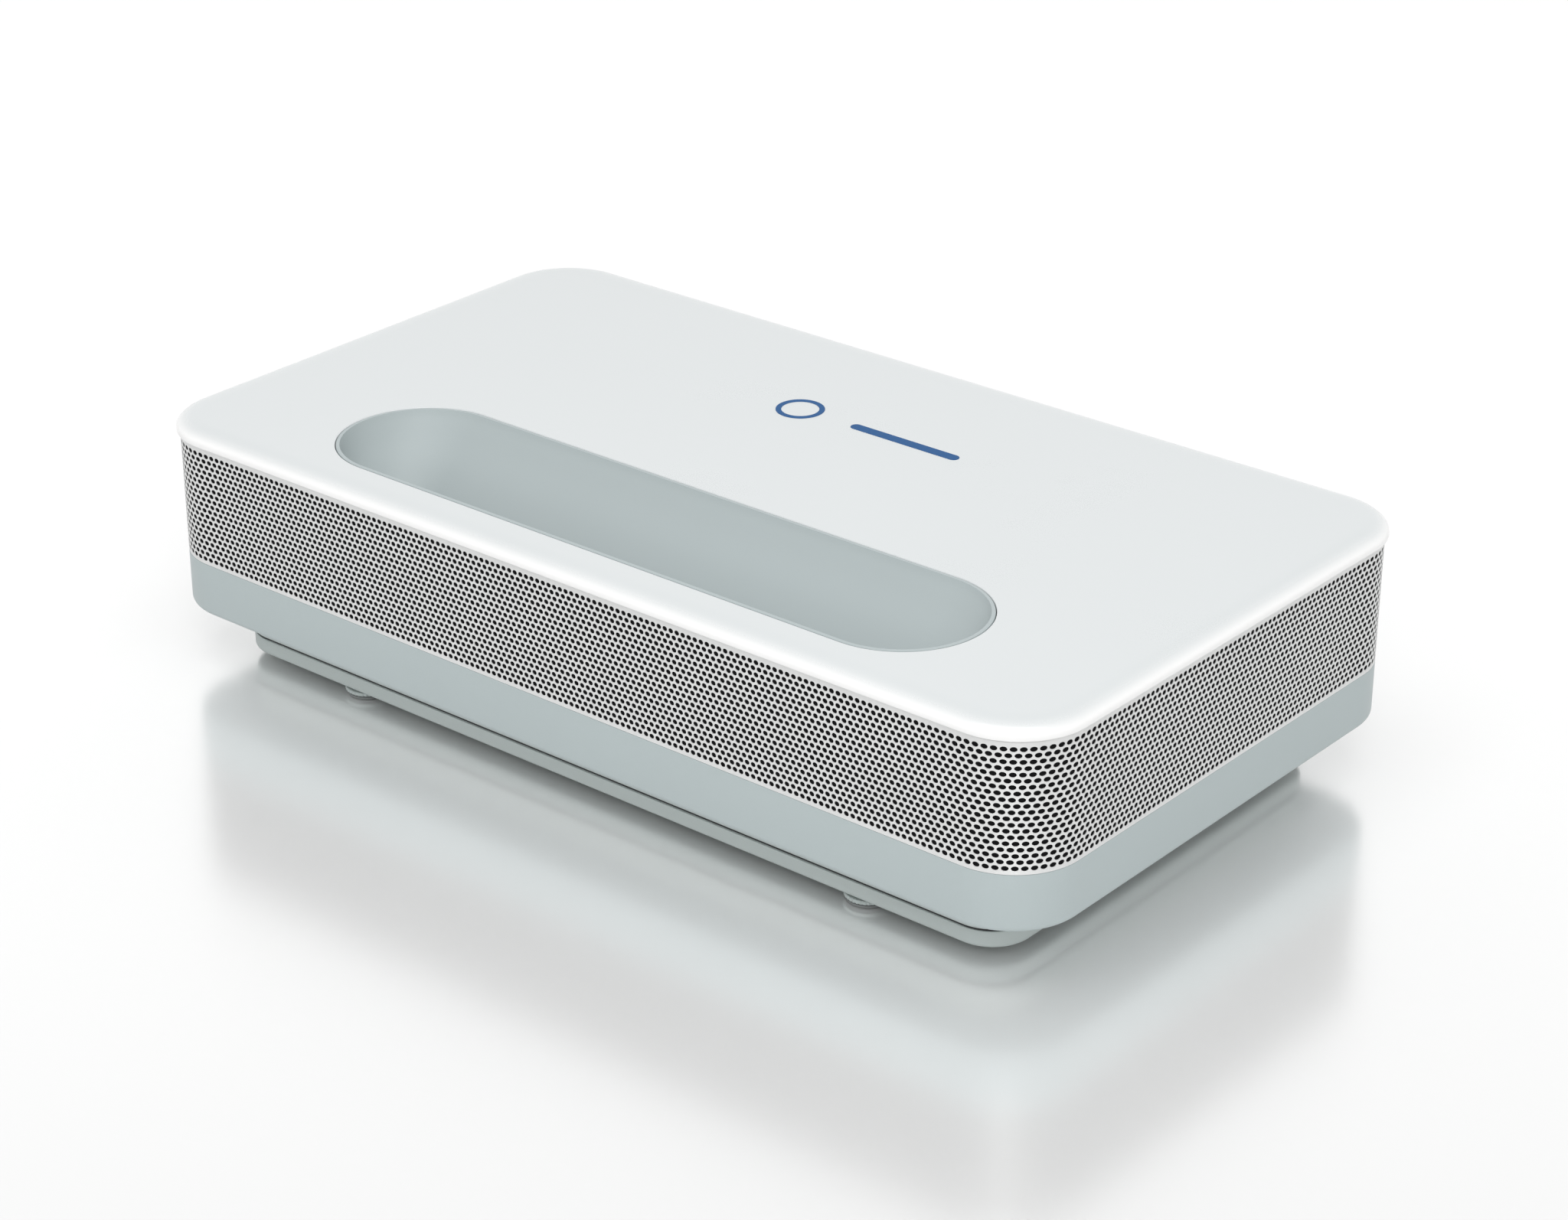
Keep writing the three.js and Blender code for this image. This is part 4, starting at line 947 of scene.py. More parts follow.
@dataclass
class Case:
    """The covers that give the projector its outline."""

    finishes: Finishes
    corner_radius: float = 32 * MM
    edge_width: float = 11 * MM
    edge_drop: float = 4.6 * MM
    edge_steps: int = 10
    seam_round: float = 0.45 * MM
    lip_round: float = 1.1 * MM
    skin: float = 3 * MM
    wall: float = 2.4 * MM
    sheet: float = 1.2 * MM
    shell_edge: float = 3 * MM
    plinth_radius: float = 18 * MM
    plinth_edge: float = 2.2 * MM
    groove_from: float = 7.4 * MM
    groove_to: float = 8.6 * MM
    groove_depth: float = 1.5 * MM
    foot_bore: float = 4.3 * MM
    head_bore: float = 3.7 * MM
    screw_bore: float = 1.9 * MM
    vent_rows: int = 13
    vent_pitch: float = 7 * MM
    vent_width: float = 2.6 * MM
    vent_length: float = 46 * MM
    vent_centre: float = 158 * MM
    arc_steps: int = 24

    def __post_init__(self) -> None:
        """Read the sizes that the frame gives."""
        self.cover_low, self.cover_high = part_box("top_cover")
        self.band_low, self.band_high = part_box("grille_band")
        self.shell_low, self.shell_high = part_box("lower_shell")
        self.plinth_low, self.plinth_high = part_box("base_plinth")
        self.well_low, self.well_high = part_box("well_liner")
        self.overhang = self.band_low.x - self.cover_low.x
        self.body_radius = self.corner_radius - self.overhang

    def outline(self, low: Vector, high: Vector, radius: float) -> Outline:
        """Rounded outline of a box's plan."""
        return Outline(high.x - low.x, high.y - low.y, radius, (0.0, 0.0), self.arc_steps, 4)

    def well_outline(self, grow: float = 0.0) -> Outline:
        """Obround of the hole that the well's rim fills.

        Args:
            grow: How far it is enlarged all round.

        Returns:
            The outline.
        """
        size = self.well_high - self.well_low
        middle = (self.well_low + self.well_high) / 2
        depth = size.y + 2 * grow
        return Outline(size.x + 2 * grow, depth, depth / 2, (middle.x, middle.y), 32, 8)

    def cover(self) -> None:
        """Build the white cover: soft upper edge, plain lip and a rimmed hole for the well."""
        build = Builder()
        outer = self.outline(self.cover_low, self.cover_high, self.corner_radius)
        top, base = self.cover_high.z, self.cover_low.z
        hollow = self.edge_width + self.skin + self.overhang
        gap = 0.25 * MM
        levels = [Level(hollow, top - self.skin), Level(hollow, base)]
        levels += round_over(0.0, base, self.lip_round, self.lip_round, 5, upward=False)
        levels += round_over(0.0, top, self.edge_width, self.edge_drop, self.edge_steps)
        levels.append(Level(self.edge_width + 1 * MM, top))
        build.stack(outer, levels, Closing.OPEN)
        hole = self.well_outline(gap)
        soft = self.seam_round
        rim = [Level(-soft - 0.3 * MM, top), Level(-soft, top), Level(-0.3 * soft, top - 0.3 * soft)]
        rim += [Level(0.0, top - soft), Level(0.0, top - self.skin)]
        build.stack(hole, rim, Closing.OPEN)
        build.flat(top, outer.ring(levels[-1].inset), [hole.ring(rim[0].inset)])
        build.flat(top - self.skin, outer.ring(hollow), [hole.ring(0.0)])
        made = build.piece("cover_shell", self.finishes["cover_white"], 50.0)
        keep(made, CASE, "cover_white", "top_cover")

    def shell(self) -> None:
        """Build the grey lower shell as a tray that is open towards the plinth."""
        build = Builder()
        outline = self.outline(self.shell_low, self.shell_high, self.body_radius)
        top, base = self.shell_high.z, self.shell_low.z
        step = self.plinth_low.x - self.shell_low.x + self.wall + 8 * MM
        levels = [Level(step, base + self.wall), Level(step, base), Level(self.shell_edge + 1 * MM, base)]
        levels += round_over(0.0, base, self.shell_edge, self.shell_edge, 8, upward=False)
        levels += round_over(0.0, top, self.seam_round, self.seam_round, 3)
        levels += [Level(self.wall, top), Level(self.wall, base + self.wall)]
        build.stack(outline, levels, Closing.LOOP)
        made = build.piece("lower_shell_skin", self.finishes["shell_grey"], 50.0)
        keep(made, CASE, "shell_grey", "lower_shell")

    def plinth(self) -> None:
        """Build the base plinth: grooved wall, softened lower edge, a vented floor and a dark strip in the
        groove that paints the shade line under the shell.
        """
        build = Builder()
        outline = self.outline(self.plinth_low, self.plinth_high, self.plinth_radius)
        top, base = self.plinth_high.z, self.plinth_low.z
        groove_low, groove_high, groove = base + self.groove_from, base + self.groove_to, self.groove_depth
        border = self.plinth_edge + 1 * MM
        levels = [Level(border, base)]
        levels += round_over(0.0, base, self.plinth_edge, self.plinth_edge, 6, upward=False)
        levels += [Level(0.0, groove_low - 0.3 * MM), Level(0.3 * MM, groove_low), Level(groove, groove_low)]
        levels += [Level(groove, groove_high), Level(0.0, groove_high), Level(0.0, top)]
        levels += [Level(self.wall, top), Level(self.wall, base + self.wall)]
        levels.append(Level(self.wall + 1 * MM, base + self.wall))
        build.stack(outline, levels, Closing.OPEN)
        holes = [*self.floor_holes()]
        for z, inset, grow in ((base, border, 0.4 * MM), (base + self.wall, self.wall + 1 * MM, 0.0)):
            build.flat(z, outline.ring(inset), [hole.ring(-grow) for hole in holes])
        for hole in holes:
            rim = [Level(-0.4 * MM, base), Level(0.0, base + 0.4 * MM), Level(0.0, base + self.wall)]
            build.stack(hole, rim, Closing.OPEN)
        made = build.piece("plinth_tray", self.finishes["plinth_grey"], 45.0)
        keep(made, CASE, "plinth_grey", "base_plinth")
        # Painted shade: a thin dark strip in the groove stands in for the shadow line under the shell's
        # edge.
        shade_strip = Builder()
        near, far = 0.7 * MM, groove - 0.05 * MM
        low, high = groove_low + 0.05 * MM, groove_high - 0.05 * MM
        rings = [Level(near, low), Level(near, high), Level(far, high), Level(far, low)]
        shade_strip.stack(outline, rings, Closing.LOOP)
        keep(shade_strip.piece("plinth_seal", self.finishes["dark_plastic"]), CASE, "dark_plastic")
        self.bosses()

    def floor_holes(self) -> Iterable[Outline]:
        """Holes of the plinth's floor: foot stems, screw heads and two fields of vent slots."""
        for corner in CORNERS:
            for node, radius in (("foot_screw", self.foot_bore), ("case_screw", self.head_bore)):
                low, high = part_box(f"{node}_{corner}")
                middle = (low + high) / 2
                yield Outline(2 * radius, 2 * radius, radius, (middle.x, middle.y), 6, 1)
        for side in (-1, 1):
            for row in range(self.vent_rows):
                y = (row - (self.vent_rows - 1) / 2) * self.vent_pitch
                centre = (side * self.vent_centre, y)
                yield Outline(self.vent_length, self.vent_width, self.vent_width / 2, centre, 4, 1)

    def bosses(self) -> None:
        """Build the foot bosses and screw posts inside the plinth."""
        floor, top = self.plinth_low.z + self.wall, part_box("chassis_plate")[0].z - 0.3 * MM
        for corner in CORNERS:
            sizes = ("foot_screw", self.foot_bore, 7.1 * MM), ("case_screw", self.screw_bore, 5.0 * MM)
            for node, bore, outer in sizes:
                low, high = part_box(f"{node}_{corner}")
                middle = (low + high) / 2
                profile = [(bore, floor), (outer, floor), (outer - 0.3 * MM, top), (bore, top)]
                if node == "case_screw":
                    ledge = floor + 0.5 * MM
                    profile[0:1] = [(self.head_bore, floor), (self.head_bore, ledge), (bore, ledge)]
                build = Builder()
                build.lathe(profile, 32, (middle.x, middle.y))
                made = build.piece(f"{node}_boss_{corner}", self.finishes["plinth_grey"])
                keep(made, CASE, "plinth_grey")

    def build(self) -> None:
        """Build every cover."""
        self.cover()
        self.shell()
        self.plinth()


# -------------------- grille


@dataclass
class Grille:
    """Perforated band: staggered holes that widen round the corners, and a dust screen behind."""

    finishes: Finishes
    case: Case
    pitch: float = 3.0 * MM
    rows: int = 20
    row_pitch: float = 2.54 * MM
    hole_half_width: float = 1.19 * MM
    hole_half_height: float = 1.03 * MM
    hole_sides: int = 12
    sheet: float = 0.25 * MM
    seam: float = 0.4 * MM
    low_border: float = 1.3 * MM
    panel_border: float = 2.6 * MM
    panel_play: float = 0.5 * MM
    corner_reach: float = 38 * MM
    corner_stretch: float = 10.5 * MM
    runs: int = 4
    far: float = 1000.0

    def __post_init__(self) -> None:
        """Read the band's place and the panel's."""
        self.low, self.high = self.case.band_low, self.case.band_high
        self.panel_low, self.panel_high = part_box("io_panel")
        self.outline = self.case.outline(self.low, self.high, self.case.body_radius)
        self.skip = self.panel_high.x + self.panel_play + self.panel_border

    def cell(self, pitch: float) -> bpy.types.Object:
        """One flat cell with its hole, from x = 0 to one pitch."""
        half = self.row_pitch / 2
        corners = [(pitch, half), (pitch / 2, half), (0, half)]
        corners += [(0, -half), (pitch / 2, -half), (pitch, -half)]
        mesh = bmesh.new()
        outer = [mesh.verts.new((x, y, 0.0)) for x, y in corners]
        angles = [math.pi * (1 + 2 * i) / self.hole_sides for i in range(self.hole_sides)]
        wide, tall = self.hole_half_width, self.hole_half_height
        inner = [mesh.verts.new((pitch / 2 + wide * math.cos(a), tall * math.sin(a), 0.0)) for a in angles]
        links = [(0, 0), (1, 2), (2, 5), (3, 6), (4, 8), (5, 11)]
        for (corner, spoke), (after, stop) in zip(links, links[1:] + [(0, self.hole_sides)]):
            arc = [inner[i % self.hole_sides] for i in range(spoke, stop + 1)]
            mesh.faces.new([outer[corner], outer[after], *arc[::-1]])
        bmesh.ops.recalc_face_normals(mesh, faces=mesh.faces)
        data = bpy.data.meshes.new("cell")
        mesh.to_mesh(data)
        mesh.free()
        return helper("cell", data)

    def filler(self, pitch: float) -> bpy.types.Object:
        """Plain half cell that squares off a staggered row."""
        half = self.row_pitch / 2
        data = bpy.data.meshes.new("filler")
        corners = [(0, -half, 0), (pitch / 2, -half, 0), (pitch / 2, half, 0), (0, half, 0)]
        data.from_pydata(corners, [], [(0, 1, 2, 3)])
        return helper("filler", data)

    def path(self) -> bpy.types.Object:
        """Closed path round the band, anticlockwise from the middle of the rear side."""
        ring = self.outline.ring()
        rear = [p for p in ring if p[1] > self.high.y - 1e-6 and p[0] > 1e-6]
        start = ring.index(min(rear, key=lambda p: p[0])) + 1
        loop = [(0.0, self.high.y), *ring[start:], *ring[:start], (0.0, self.high.y)]
        loop = [p for i, p in enumerate(loop) if i == 0 or (Vector(p) - Vector(loop[i - 1])).length > 1e-6]
        curve = bpy.data.curves.new("band_path", "CURVE")
        curve.dimensions = "3D"
        spline = curve.splines.new("POLY")
        spline.points.add(len(loop) - 1)
        for point, (x, y) in zip(spline.points, loop):
            point.co = (x, y, 0.0, 1.0)
        self.length = sum((Vector(b) - Vector(a)).length for a, b in zip(loop, loop[1:]))
        return helper("band_path", curve)

    def corner_places(self) -> list[float]:
        """Place of each corner's middle along the flat sheet."""
        size = self.high - self.low
        radius = self.outline.radius
        long, short, arc = size.x - 2 * radius, size.y - 2 * radius, radius * math.pi / 2
        steps = [long / 2 + arc / 2, short + arc, long + arc, short + arc]
        places = [sum(steps[: i + 1]) - self.skip for i in range(len(steps))]
        return [place - self.corner_stretch * (i + 0.5) for i, place in enumerate(places)]

    def tree(self, sizes: dict[str, Any]) -> tuple[GeometryTree, bpy.types.NodeSocket]:
        """Lay out the rows, square off their ends and bend them along the path.

        Half cells that don't belong to a row's end are parked far away and deleted.

        Args:
            sizes: The tree's named inputs.

        Returns:
            The tree and its bent sheet.
        """
        tree = GeometryTree("perforation", sizes)
        pitch, row_pitch = tree.size("Pitch"), tree.size("Row pitch")
        columns, rows = tree.size("Columns"), tree.size("Rows")
        index = tree.index()
        row = (index / columns + 1e-4).floor()
        shift = (row % 2.0) * 0.5
        place = tree.vector((index - row * columns + shift) * pitch, (row + 0.5) * row_pitch, 0.0)
        parts = [tree.copies(tree.moved(tree.points(columns * rows), place), tree.shape("Cell"))]
        odd = index % 2.0
        ends = ((odd - 1.0) * self.far, "Open end"), (columns * pitch + odd * self.far, "Shut end")
        for x, flag in ends:
            run = tree.points(rows * tree.size(flag))
            spot = tree.vector(x, (index + 0.5) * row_pitch, 0.0)
            parts.append(tree.copies(tree.moved(run, spot), tree.shape("Filler")))
        joined = tree.node("GeometryNodeJoinGeometry", {}, {})
        for part in reversed(parts):
            tree.tree.links.new(part, joined.inputs[0])
        inputs = {"Geometry": joined.outputs[0], "Distance": 0.01 * MM}
        welded = tree.node("GeometryNodeMergeByDistance", {}, inputs)
        x, y = tree.position()
        inputs = {"Geometry": welded.outputs[0], "Selection": tree.above(x.size(), self.far / 2)}
        kept = tree.node("GeometryNodeDeleteGeometry", {}, inputs)
        return tree, tree.moved(kept.outputs[0], self.bend(tree, x, y))

    def bend(self, tree: GeometryTree, x: Value, y: Value) -> bpy.types.NodeSocket:
        """Carry a place on the flat sheet onto the band.

        Args:
            tree: The tree that the nodes go into.
            x: Place along the run.
            y: Height above the first row.

        Returns:
            The bent position's socket.
        """
        flat = tree.size("Start") + x
        along = flat + self.skip
        for i in range(4):
            corner = tree.size(f"Corner {i + 1}")
            reach = tree.size("Corner reach")
            along = along + flat.between(corner - reach, corner + reach) * tree.size("Corner stretch")
        inputs = {"Curves": tree.shape("Path"), "Length": along}
        sample = tree.node("GeometryNodeSampleCurve", {"mode": "LENGTH"}, inputs)
        spot = tree.node("ShaderNodeSeparateXYZ", {}, {"Vector": sample.outputs["Position"]})
        return tree.vector(spot.outputs["X"], spot.outputs["Y"], y + tree.size("Base"))

    def sheets(self) -> None:
        """Build the perforated sheet in a few runs."""
        path = self.path()
        total = self.length - 2 * self.skip - 4 * self.corner_stretch
        columns = round(total / self.pitch - 0.5)
        pitch = total / (columns + 0.5)
        cell, filler = self.cell(pitch), self.filler(pitch)
        corners = {f"Corner {i + 1}": place for i, place in enumerate(self.corner_places())}
        metal = self.finishes["grille_metal"]
        done = 0
        for run in range(self.runs):
            count = (columns - done) // (self.runs - run)
            sizes = {
                "Cell": cell, "Filler": filler, "Path": path, **corners,
                "Corner reach": self.corner_reach, "Corner stretch": self.corner_stretch,
                "Columns": count, "Rows": self.rows, "Pitch": pitch, "Row pitch": self.row_pitch,
                "Start": done * pitch, "Base": self.low.z + self.low_border,
                "Open end": int(run == 0), "Shut end": int(run == self.runs - 1),
            }
            tree, bent = self.tree(sizes)
            made = tree.run(f"grille_sheet_{run + 1}", bent, metal)
            wall = made.modifiers.new("thickness", "SOLIDIFY")
            wall.thickness = self.sheet
            wall.offset = -1.0
            keep(settle(made, metal), CASE, "grille_metal")
            done += count
        drop(cell, filler, path)

    def borders(self) -> None:
        """Build the plain strips above and below the holes and the frame round the panel."""
        base = self.low.z + self.low_border
        top = base + self.rows * self.row_pitch
        metal = self.finishes["grille_metal"]
        seam = self.high.z - self.seam
        for name, z0, z1 in (("grille_lower_strip", self.low.z, base), ("grille_upper_strip", top, seam)):
            build = Builder()
            levels = [Level(self.sheet, z0), Level(0.0, z0), Level(0.0, z1), Level(self.sheet, z1)]
            build.stack(self.outline, levels, Closing.LOOP)
            nodes = ("grille_band",) if name == "grille_upper_strip" else ()
            keep(build.piece(name, metal), CASE, "grille_metal", *nodes)
        half = self.panel_high.x + self.panel_play
        middle = (base + top) / 2
        opening_middle = (self.panel_low.z + self.panel_high.z) / 2
        height = self.panel_high.z - self.panel_low.z + 2 * self.panel_play
        outer = Outline(2 * self.skip, top - base, 0.01 * MM, (0.0, middle), 1, 1)
        hole = Outline(2 * half, height, 0.6 * MM, (0.0, opening_middle), 3, 1)
        build = Builder()
        build.plate(outer, [hole], -self.sheet, 0.0, 0.0)
        build.place(rear_facing(self.high.y))
        keep(build.piece("grille_panel_frame", metal), CASE, "grille_metal")

    def screen(self) -> None:
        """Build the black dust screen behind the holes, open behind the panel."""
        build = Builder()
        gap, back = self.sheet + 0.1 * MM, self.case.sheet
        z0, z1 = self.low.z + 0.2 * MM, self.high.z - 0.2 * MM
        ring = self.outline
        rows = []
        for inset, z in ((gap, z0), (gap, z1), (back, z1), (back, z0)):
            points = ring.ring(inset)
            start = next(i for i, p in enumerate(points) if p[1] > ring.depth / 2 - back - 1e-6 and p[0] < 0)
            turned = [*points[start:], *points[:start]]
            ends = [(-self.skip + 1 * MM, turned[0][1]), (self.skip - 1 * MM, turned[0][1])]
            arc = [p for p in turned if not (abs(p[0]) < self.skip and p[1] > 0)]
            rows.append([build.mesh.verts.new((x, y, z)) for x, y in (ends[0], *arc, ends[1])])
        for row, after in zip(rows, rows[1:] + rows[:1]):
            for a, b, c, d in zip(row, row[1:], after[1:], after):
                build.mesh.faces.new((a, b, c, d))
        build.mesh.faces.new([row[0] for row in rows])
        build.mesh.faces.new([row[-1] for row in rows])
        keep(build.piece("dust_screen", self.finishes["dust_screen"]), CASE, "dark_plastic")

    def build(self) -> None:
        """Build the whole band."""
        self.sheets()
        self.borders()
        self.screen()


def helper(name: str, data: Any) -> bpy.types.Object:
    """Link an object that only feeds a tree."""
    made = bpy.data.objects.new(name, data)
    bpy.context.scene.collection.objects.link(made)
    return made


def rear_facing(y: float) -> Matrix:
    """Carry a drawing in X and Y onto X and Z, with its height running back along Y from y."""
    return Matrix(((1, 0, 0, 0), (0, 0, 1, y), (0, 1, 0, 0), (0, 0, 0, 1)))


# -------------------- light well


@dataclass
class LightWell:
    """Scooped well in the cover, with its rim and window."""

    finishes: Finishes
    case: Case
    rim: float = 1.8 * MM
    rim_round: float = 0.8 * MM
    depth: float = 39 * MM
    floor_share: float = 0.255
    width: float = 68.6 * MM
    steps: int = 28
    window_round: float = 0.4 * MM
    frit_width: float = 2.6 * MM
    seat_play: float = 0.3 * MM
    seat_gap: float = 0.05 * MM
    seat_width: float = 2.9 * MM
    scoop: tuple[Point, ...] = ((0, 0), (0.06, 0.03), (0.28, 0.24), (0.54, 0.58), (0.8, 0.9), (1, 1))

    def share(self, depth: float) -> float:
        """Share of the floor's inset at a share of the depth, on a smooth curve.

        Args:
            depth: Share of the depth.

        Returns:
            Share of the inset.
        """
        points = self.scoop
        for k in range(len(points) - 1):
            (x0, y0), (x1, y1) = points[k], points[k + 1]
            if depth <= x1:
                before = points[max(k - 1, 0)]
                after = points[min(k + 2, len(points) - 1)]
                m0 = (y1 - before[1]) / (x1 - before[0])
                m1 = (after[1] - y0) / (after[0] - x0)
                t = (depth - x0) / (x1 - x0)
                span = x1 - x0
                a = (1 + 2 * t) * (1 - t) ** 2
                b = t * (1 - t) ** 2
                c = t * t * (3 - 2 * t)
                d = t * t * (t - 1)
                return a * y0 + b * span * m0 + c * y1 + d * span * m1
        return 1.0

    def liner(self) -> None:
        """Build the tub: rim, scooped wall, floor with its window seat, and outer skin."""
        top, base = self.case.well_high.z, self.case.well_low.z
        floor = top - self.depth
        deepest = self.width * self.floor_share
        outline = self.case.well_outline()
        rim = self.rim
        inner = []
        for step in range(self.steps + 1):
            share = step / self.steps
            inset = deepest * self.share(share)
            inner.append(Level(rim + inset, top - self.depth * share, -inset))
        soft = self.rim_round
        lip = [Level(0.0, top - soft), Level(0.25 * soft, top - 0.25 * soft), Level(soft, top)]
        lip += [Level(rim - 0.2 * soft, top - 0.06 * soft)]
        glass_low, glass_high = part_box("exit_window")
        seat = (self.width - 2 * deepest - (glass_high.y - glass_low.y)) / 2 - self.seat_play
        last = inner[-1]
        mouth = seat + self.seat_width
        ledge = glass_low.z - self.seat_gap
        floor_levels = [
            Level(last.inset + seat, floor, last.shift),
            Level(last.inset + seat, ledge, last.shift),
            Level(last.inset + mouth, ledge, last.shift),
            Level(last.inset + mouth, base, last.shift),
            Level(last.inset - rim, base, last.shift),
        ]
        outside = [Level(level.inset - rim, level.z, level.shift) for level in inner[1:]][::-1]
        build = Builder()
        build.stack(outline, [*lip, *inner[1:], *floor_levels, *outside], Closing.LOOP)
        keep(build.piece("well_tub", self.finishes["liner_grey"], 40.0), CASE, "liner_grey", "well_liner")
        self.window(glass_low, glass_high)

    def window(self, low: Vector, high: Vector) -> None:
        """Build the glass with its soft edge and the black border printed round it.

        Args:
            low: Lowest corner of the window.
            high: Highest corner of the window.
        """
        middle = (low + high) / 2
        depth = high.y - low.y
        outline = Outline(high.x - low.x, depth, depth / 2, (middle.x, middle.y), 24, 4)
        soft = self.window_round
        build = Builder()
        levels = [Level(soft, low.z), Level(0.0, low.z + soft)]
        levels += [Level(0.0, high.z - soft), Level(soft, high.z)]
        build.stack(outline, levels, Closing.CAPS)
        glass = build.piece("window_pane", self.finishes["window_glass"], 30.0)
        keep(glass, CASE, "window_glass", "exit_window")
        border = Builder()
        inner, outer = soft + self.frit_width, soft + 0.1 * MM
        z0, z1 = high.z + 0.01 * MM, high.z + 0.05 * MM
        levels = [Level(outer, z0), Level(outer, z1), Level(inner, z1), Level(inner, z0)]
        border.stack(outline, levels, Closing.LOOP)
        keep(border.piece("window_border", self.finishes["frit"]), CASE, "dark_plastic")

    def build(self) -> None:
        """Build the well."""
        self.liner()


# -------------------- cover mark


@dataclass
class CoverMark:
    """Plain printed mark on the cover: a ring and a bar."""

    finishes: Finishes
    stroke: float = 2.4 * MM
    soft: float = 0.06 * MM

    def ring(self) -> None:
        """Build the ring."""
        low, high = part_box("mark_ring")
        middle = (low + high) / 2
        outer = (high.x - low.x) / 2
        inner = outer - self.stroke
        profile = [
            (inner, low.z), (inner, high.z - self.soft), (inner + self.soft, high.z),
            (outer - self.soft, high.z), (outer, high.z - self.soft), (outer, low.z),
        ]
        build = Builder()
        build.lathe(profile, 96, (middle.x, middle.y))
        keep(build.piece("mark_ring_print", self.finishes["mark_blue"]), CASE, "mark_blue", "mark_ring")

    def bar(self) -> None:
        """Build the bar."""
        low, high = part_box("mark_bar")
        middle = (low + high) / 2
        depth = high.y - low.y
        outline = Outline(high.x - low.x, depth, depth / 2, (middle.x, middle.y), 12, 1)
        build = Builder()
        levels = [Level(0.0, low.z), Level(0.0, high.z - self.soft), Level(self.soft, high.z)]
        build.stack(outline, levels, Closing.CAPS)
        keep(build.piece("mark_bar_print", self.finishes["mark_blue"]), CASE, "mark_blue", "mark_bar")

    def build(self) -> None:
        """Build the mark."""
        self.ring()
        self.bar()


# -------------------- feet and screws


@dataclass
class Feet:
    """Levelling feet: ridged rubber pads that slide and knurled screws that turn."""

    finishes: Finishes
    soft: float = 0.9 * MM
    ridges: int = 3
    ridge: float = 0.25 * MM
    knurls: int = 36
    knurl: float = 0.16 * MM
    sole: float = 1.4 * MM
    pin_radius: float = 2.0 * MM
    disc: float = 1.8 * MM
    stem_radius: float = 4.0 * MM
    thread_root: float = 3.55 * MM
    threads: int = 12
    pocket: float = 2.3 * MM
    head: float = 2.2 * MM
    head_radius: float = 3.4 * MM
    shank_radius: float = 1.6 * MM

    def pad(self, corner: str) -> None:
        """Build one rubber pad with ridges on its sole and a pin on top."""
        node = f"foot_pad_{corner}"
        low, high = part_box(node)
        middle = (low + high) / 2
        radius, top = (high.x - low.x) / 2, low.z + self.sole
        profile = [(0.0, low.z + self.ridge), (radius * 0.2, low.z + self.ridge)]
        for i in range(self.ridges):
            start = radius * (0.25 + 0.23 * i)
            width = radius * 0.13
            profile += [(start, low.z + self.ridge), (start + 0.2 * width, low.z)]
            profile += [(start + 0.8 * width, low.z), (start + width, low.z + self.ridge)]
        profile += [(radius - self.soft, low.z), (radius - 0.3 * self.soft, low.z + 0.3 * self.soft)]
        profile += [(radius, low.z + self.soft), (radius, top - 0.2 * MM), (radius - 0.2 * MM, top)]
        profile += [(self.pin_radius, top), (self.pin_radius, high.z - 0.3 * MM)]
        profile += [(1.7 * MM, high.z), (0.0, high.z)]
        build = Builder()
        build.lathe(profile, 64, (middle.x, middle.y))
        keep(build.piece(f"{node}_rubber", self.finishes["rubber"]), node, "rubber", node)

    def screw(self, corner: str) -> None:
        """Build one screw: a knurled disc, a plain shoulder and a threaded stem."""
        node = f"foot_screw_{corner}"
        low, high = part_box(node)
        middle = (low + high) / 2
        radius = (high.x - low.x) / 2 - self.knurl
        disc_top = low.z + self.disc
        lobes = (self.knurls, self.knurl)
        profile: list[tuple] = [(self.pocket, low.z), (radius - self.soft, low.z)]
        profile += [(radius - 0.25 * self.soft, low.z + 0.3 * self.soft, *lobes)]
        profile += [(radius, low.z + self.soft, *lobes), (radius, disc_top - 0.3 * MM, *lobes)]
        profile += [(radius - 0.3 * MM, disc_top, *lobes), (self.stem_radius, disc_top)]
        start = disc_top + 1.5 * MM
        pitch = (high.z - 0.8 * MM - start) / self.threads
        profile.append((self.stem_radius, start))
        for turn in range(self.threads):
            z = start + turn * pitch
            profile += [(self.thread_root, z + 0.35 * pitch), (self.stem_radius, z + 0.8 * pitch)]
            profile.append((self.stem_radius, z + pitch))
        profile += [(3.4 * MM, high.z), (0.0, high.z)]
        profile += [(0.0, low.z + self.sole), (self.pocket, low.z + self.sole)]
        build = Builder()
        build.lathe(profile, 144, (middle.x, middle.y))
        keep(build.piece(f"{node}_knob", self.finishes["plinth_grey"]), node, "plinth_grey", node)

    def case_screw(self, corner: str) -> None:
        """Build one case screw with a six-lobed recess in its head."""
        node = f"case_screw_{corner}"
        low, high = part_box(node)
        middle = (low + high) / 2
        head = low.z + self.head
        lobes = (6, 0.22 * MM)
        profile: list[tuple] = [(0.0, low.z + 1.3 * MM), (1.25 * MM, low.z + 1.2 * MM, *lobes)]
        profile += [(1.4 * MM, low.z + 0.15 * MM, *lobes), (1.75 * MM, low.z), (2.9 * MM, low.z)]
        profile += [(3.25 * MM, low.z + 0.15 * MM), (self.head_radius, low.z + 0.5 * MM)]
        profile += [(self.head_radius, head), (self.shank_radius, head)]
        profile += [(self.shank_radius, high.z - 0.5 * MM), (1.2 * MM, high.z), (0.0, high.z)]
        build = Builder()
        build.lathe(profile, 48, (middle.x, middle.y))
        keep(build.piece(f"{node}_steel", self.finishes["steel"]), CASE, "steel", node)

    def build(self) -> None:
        """Build the feet and screws at every corner."""
        for corner in CORNERS:
            self.pad(corner)
            self.screw(corner)
            self.case_screw(corner)


# -------------------- socket panel


USB_TONGUE = (11.2 * MM, 1.8 * MM, 0.9 * MM)
HDMI_TONGUE = (11.0 * MM, 1.0 * MM, 0.0)


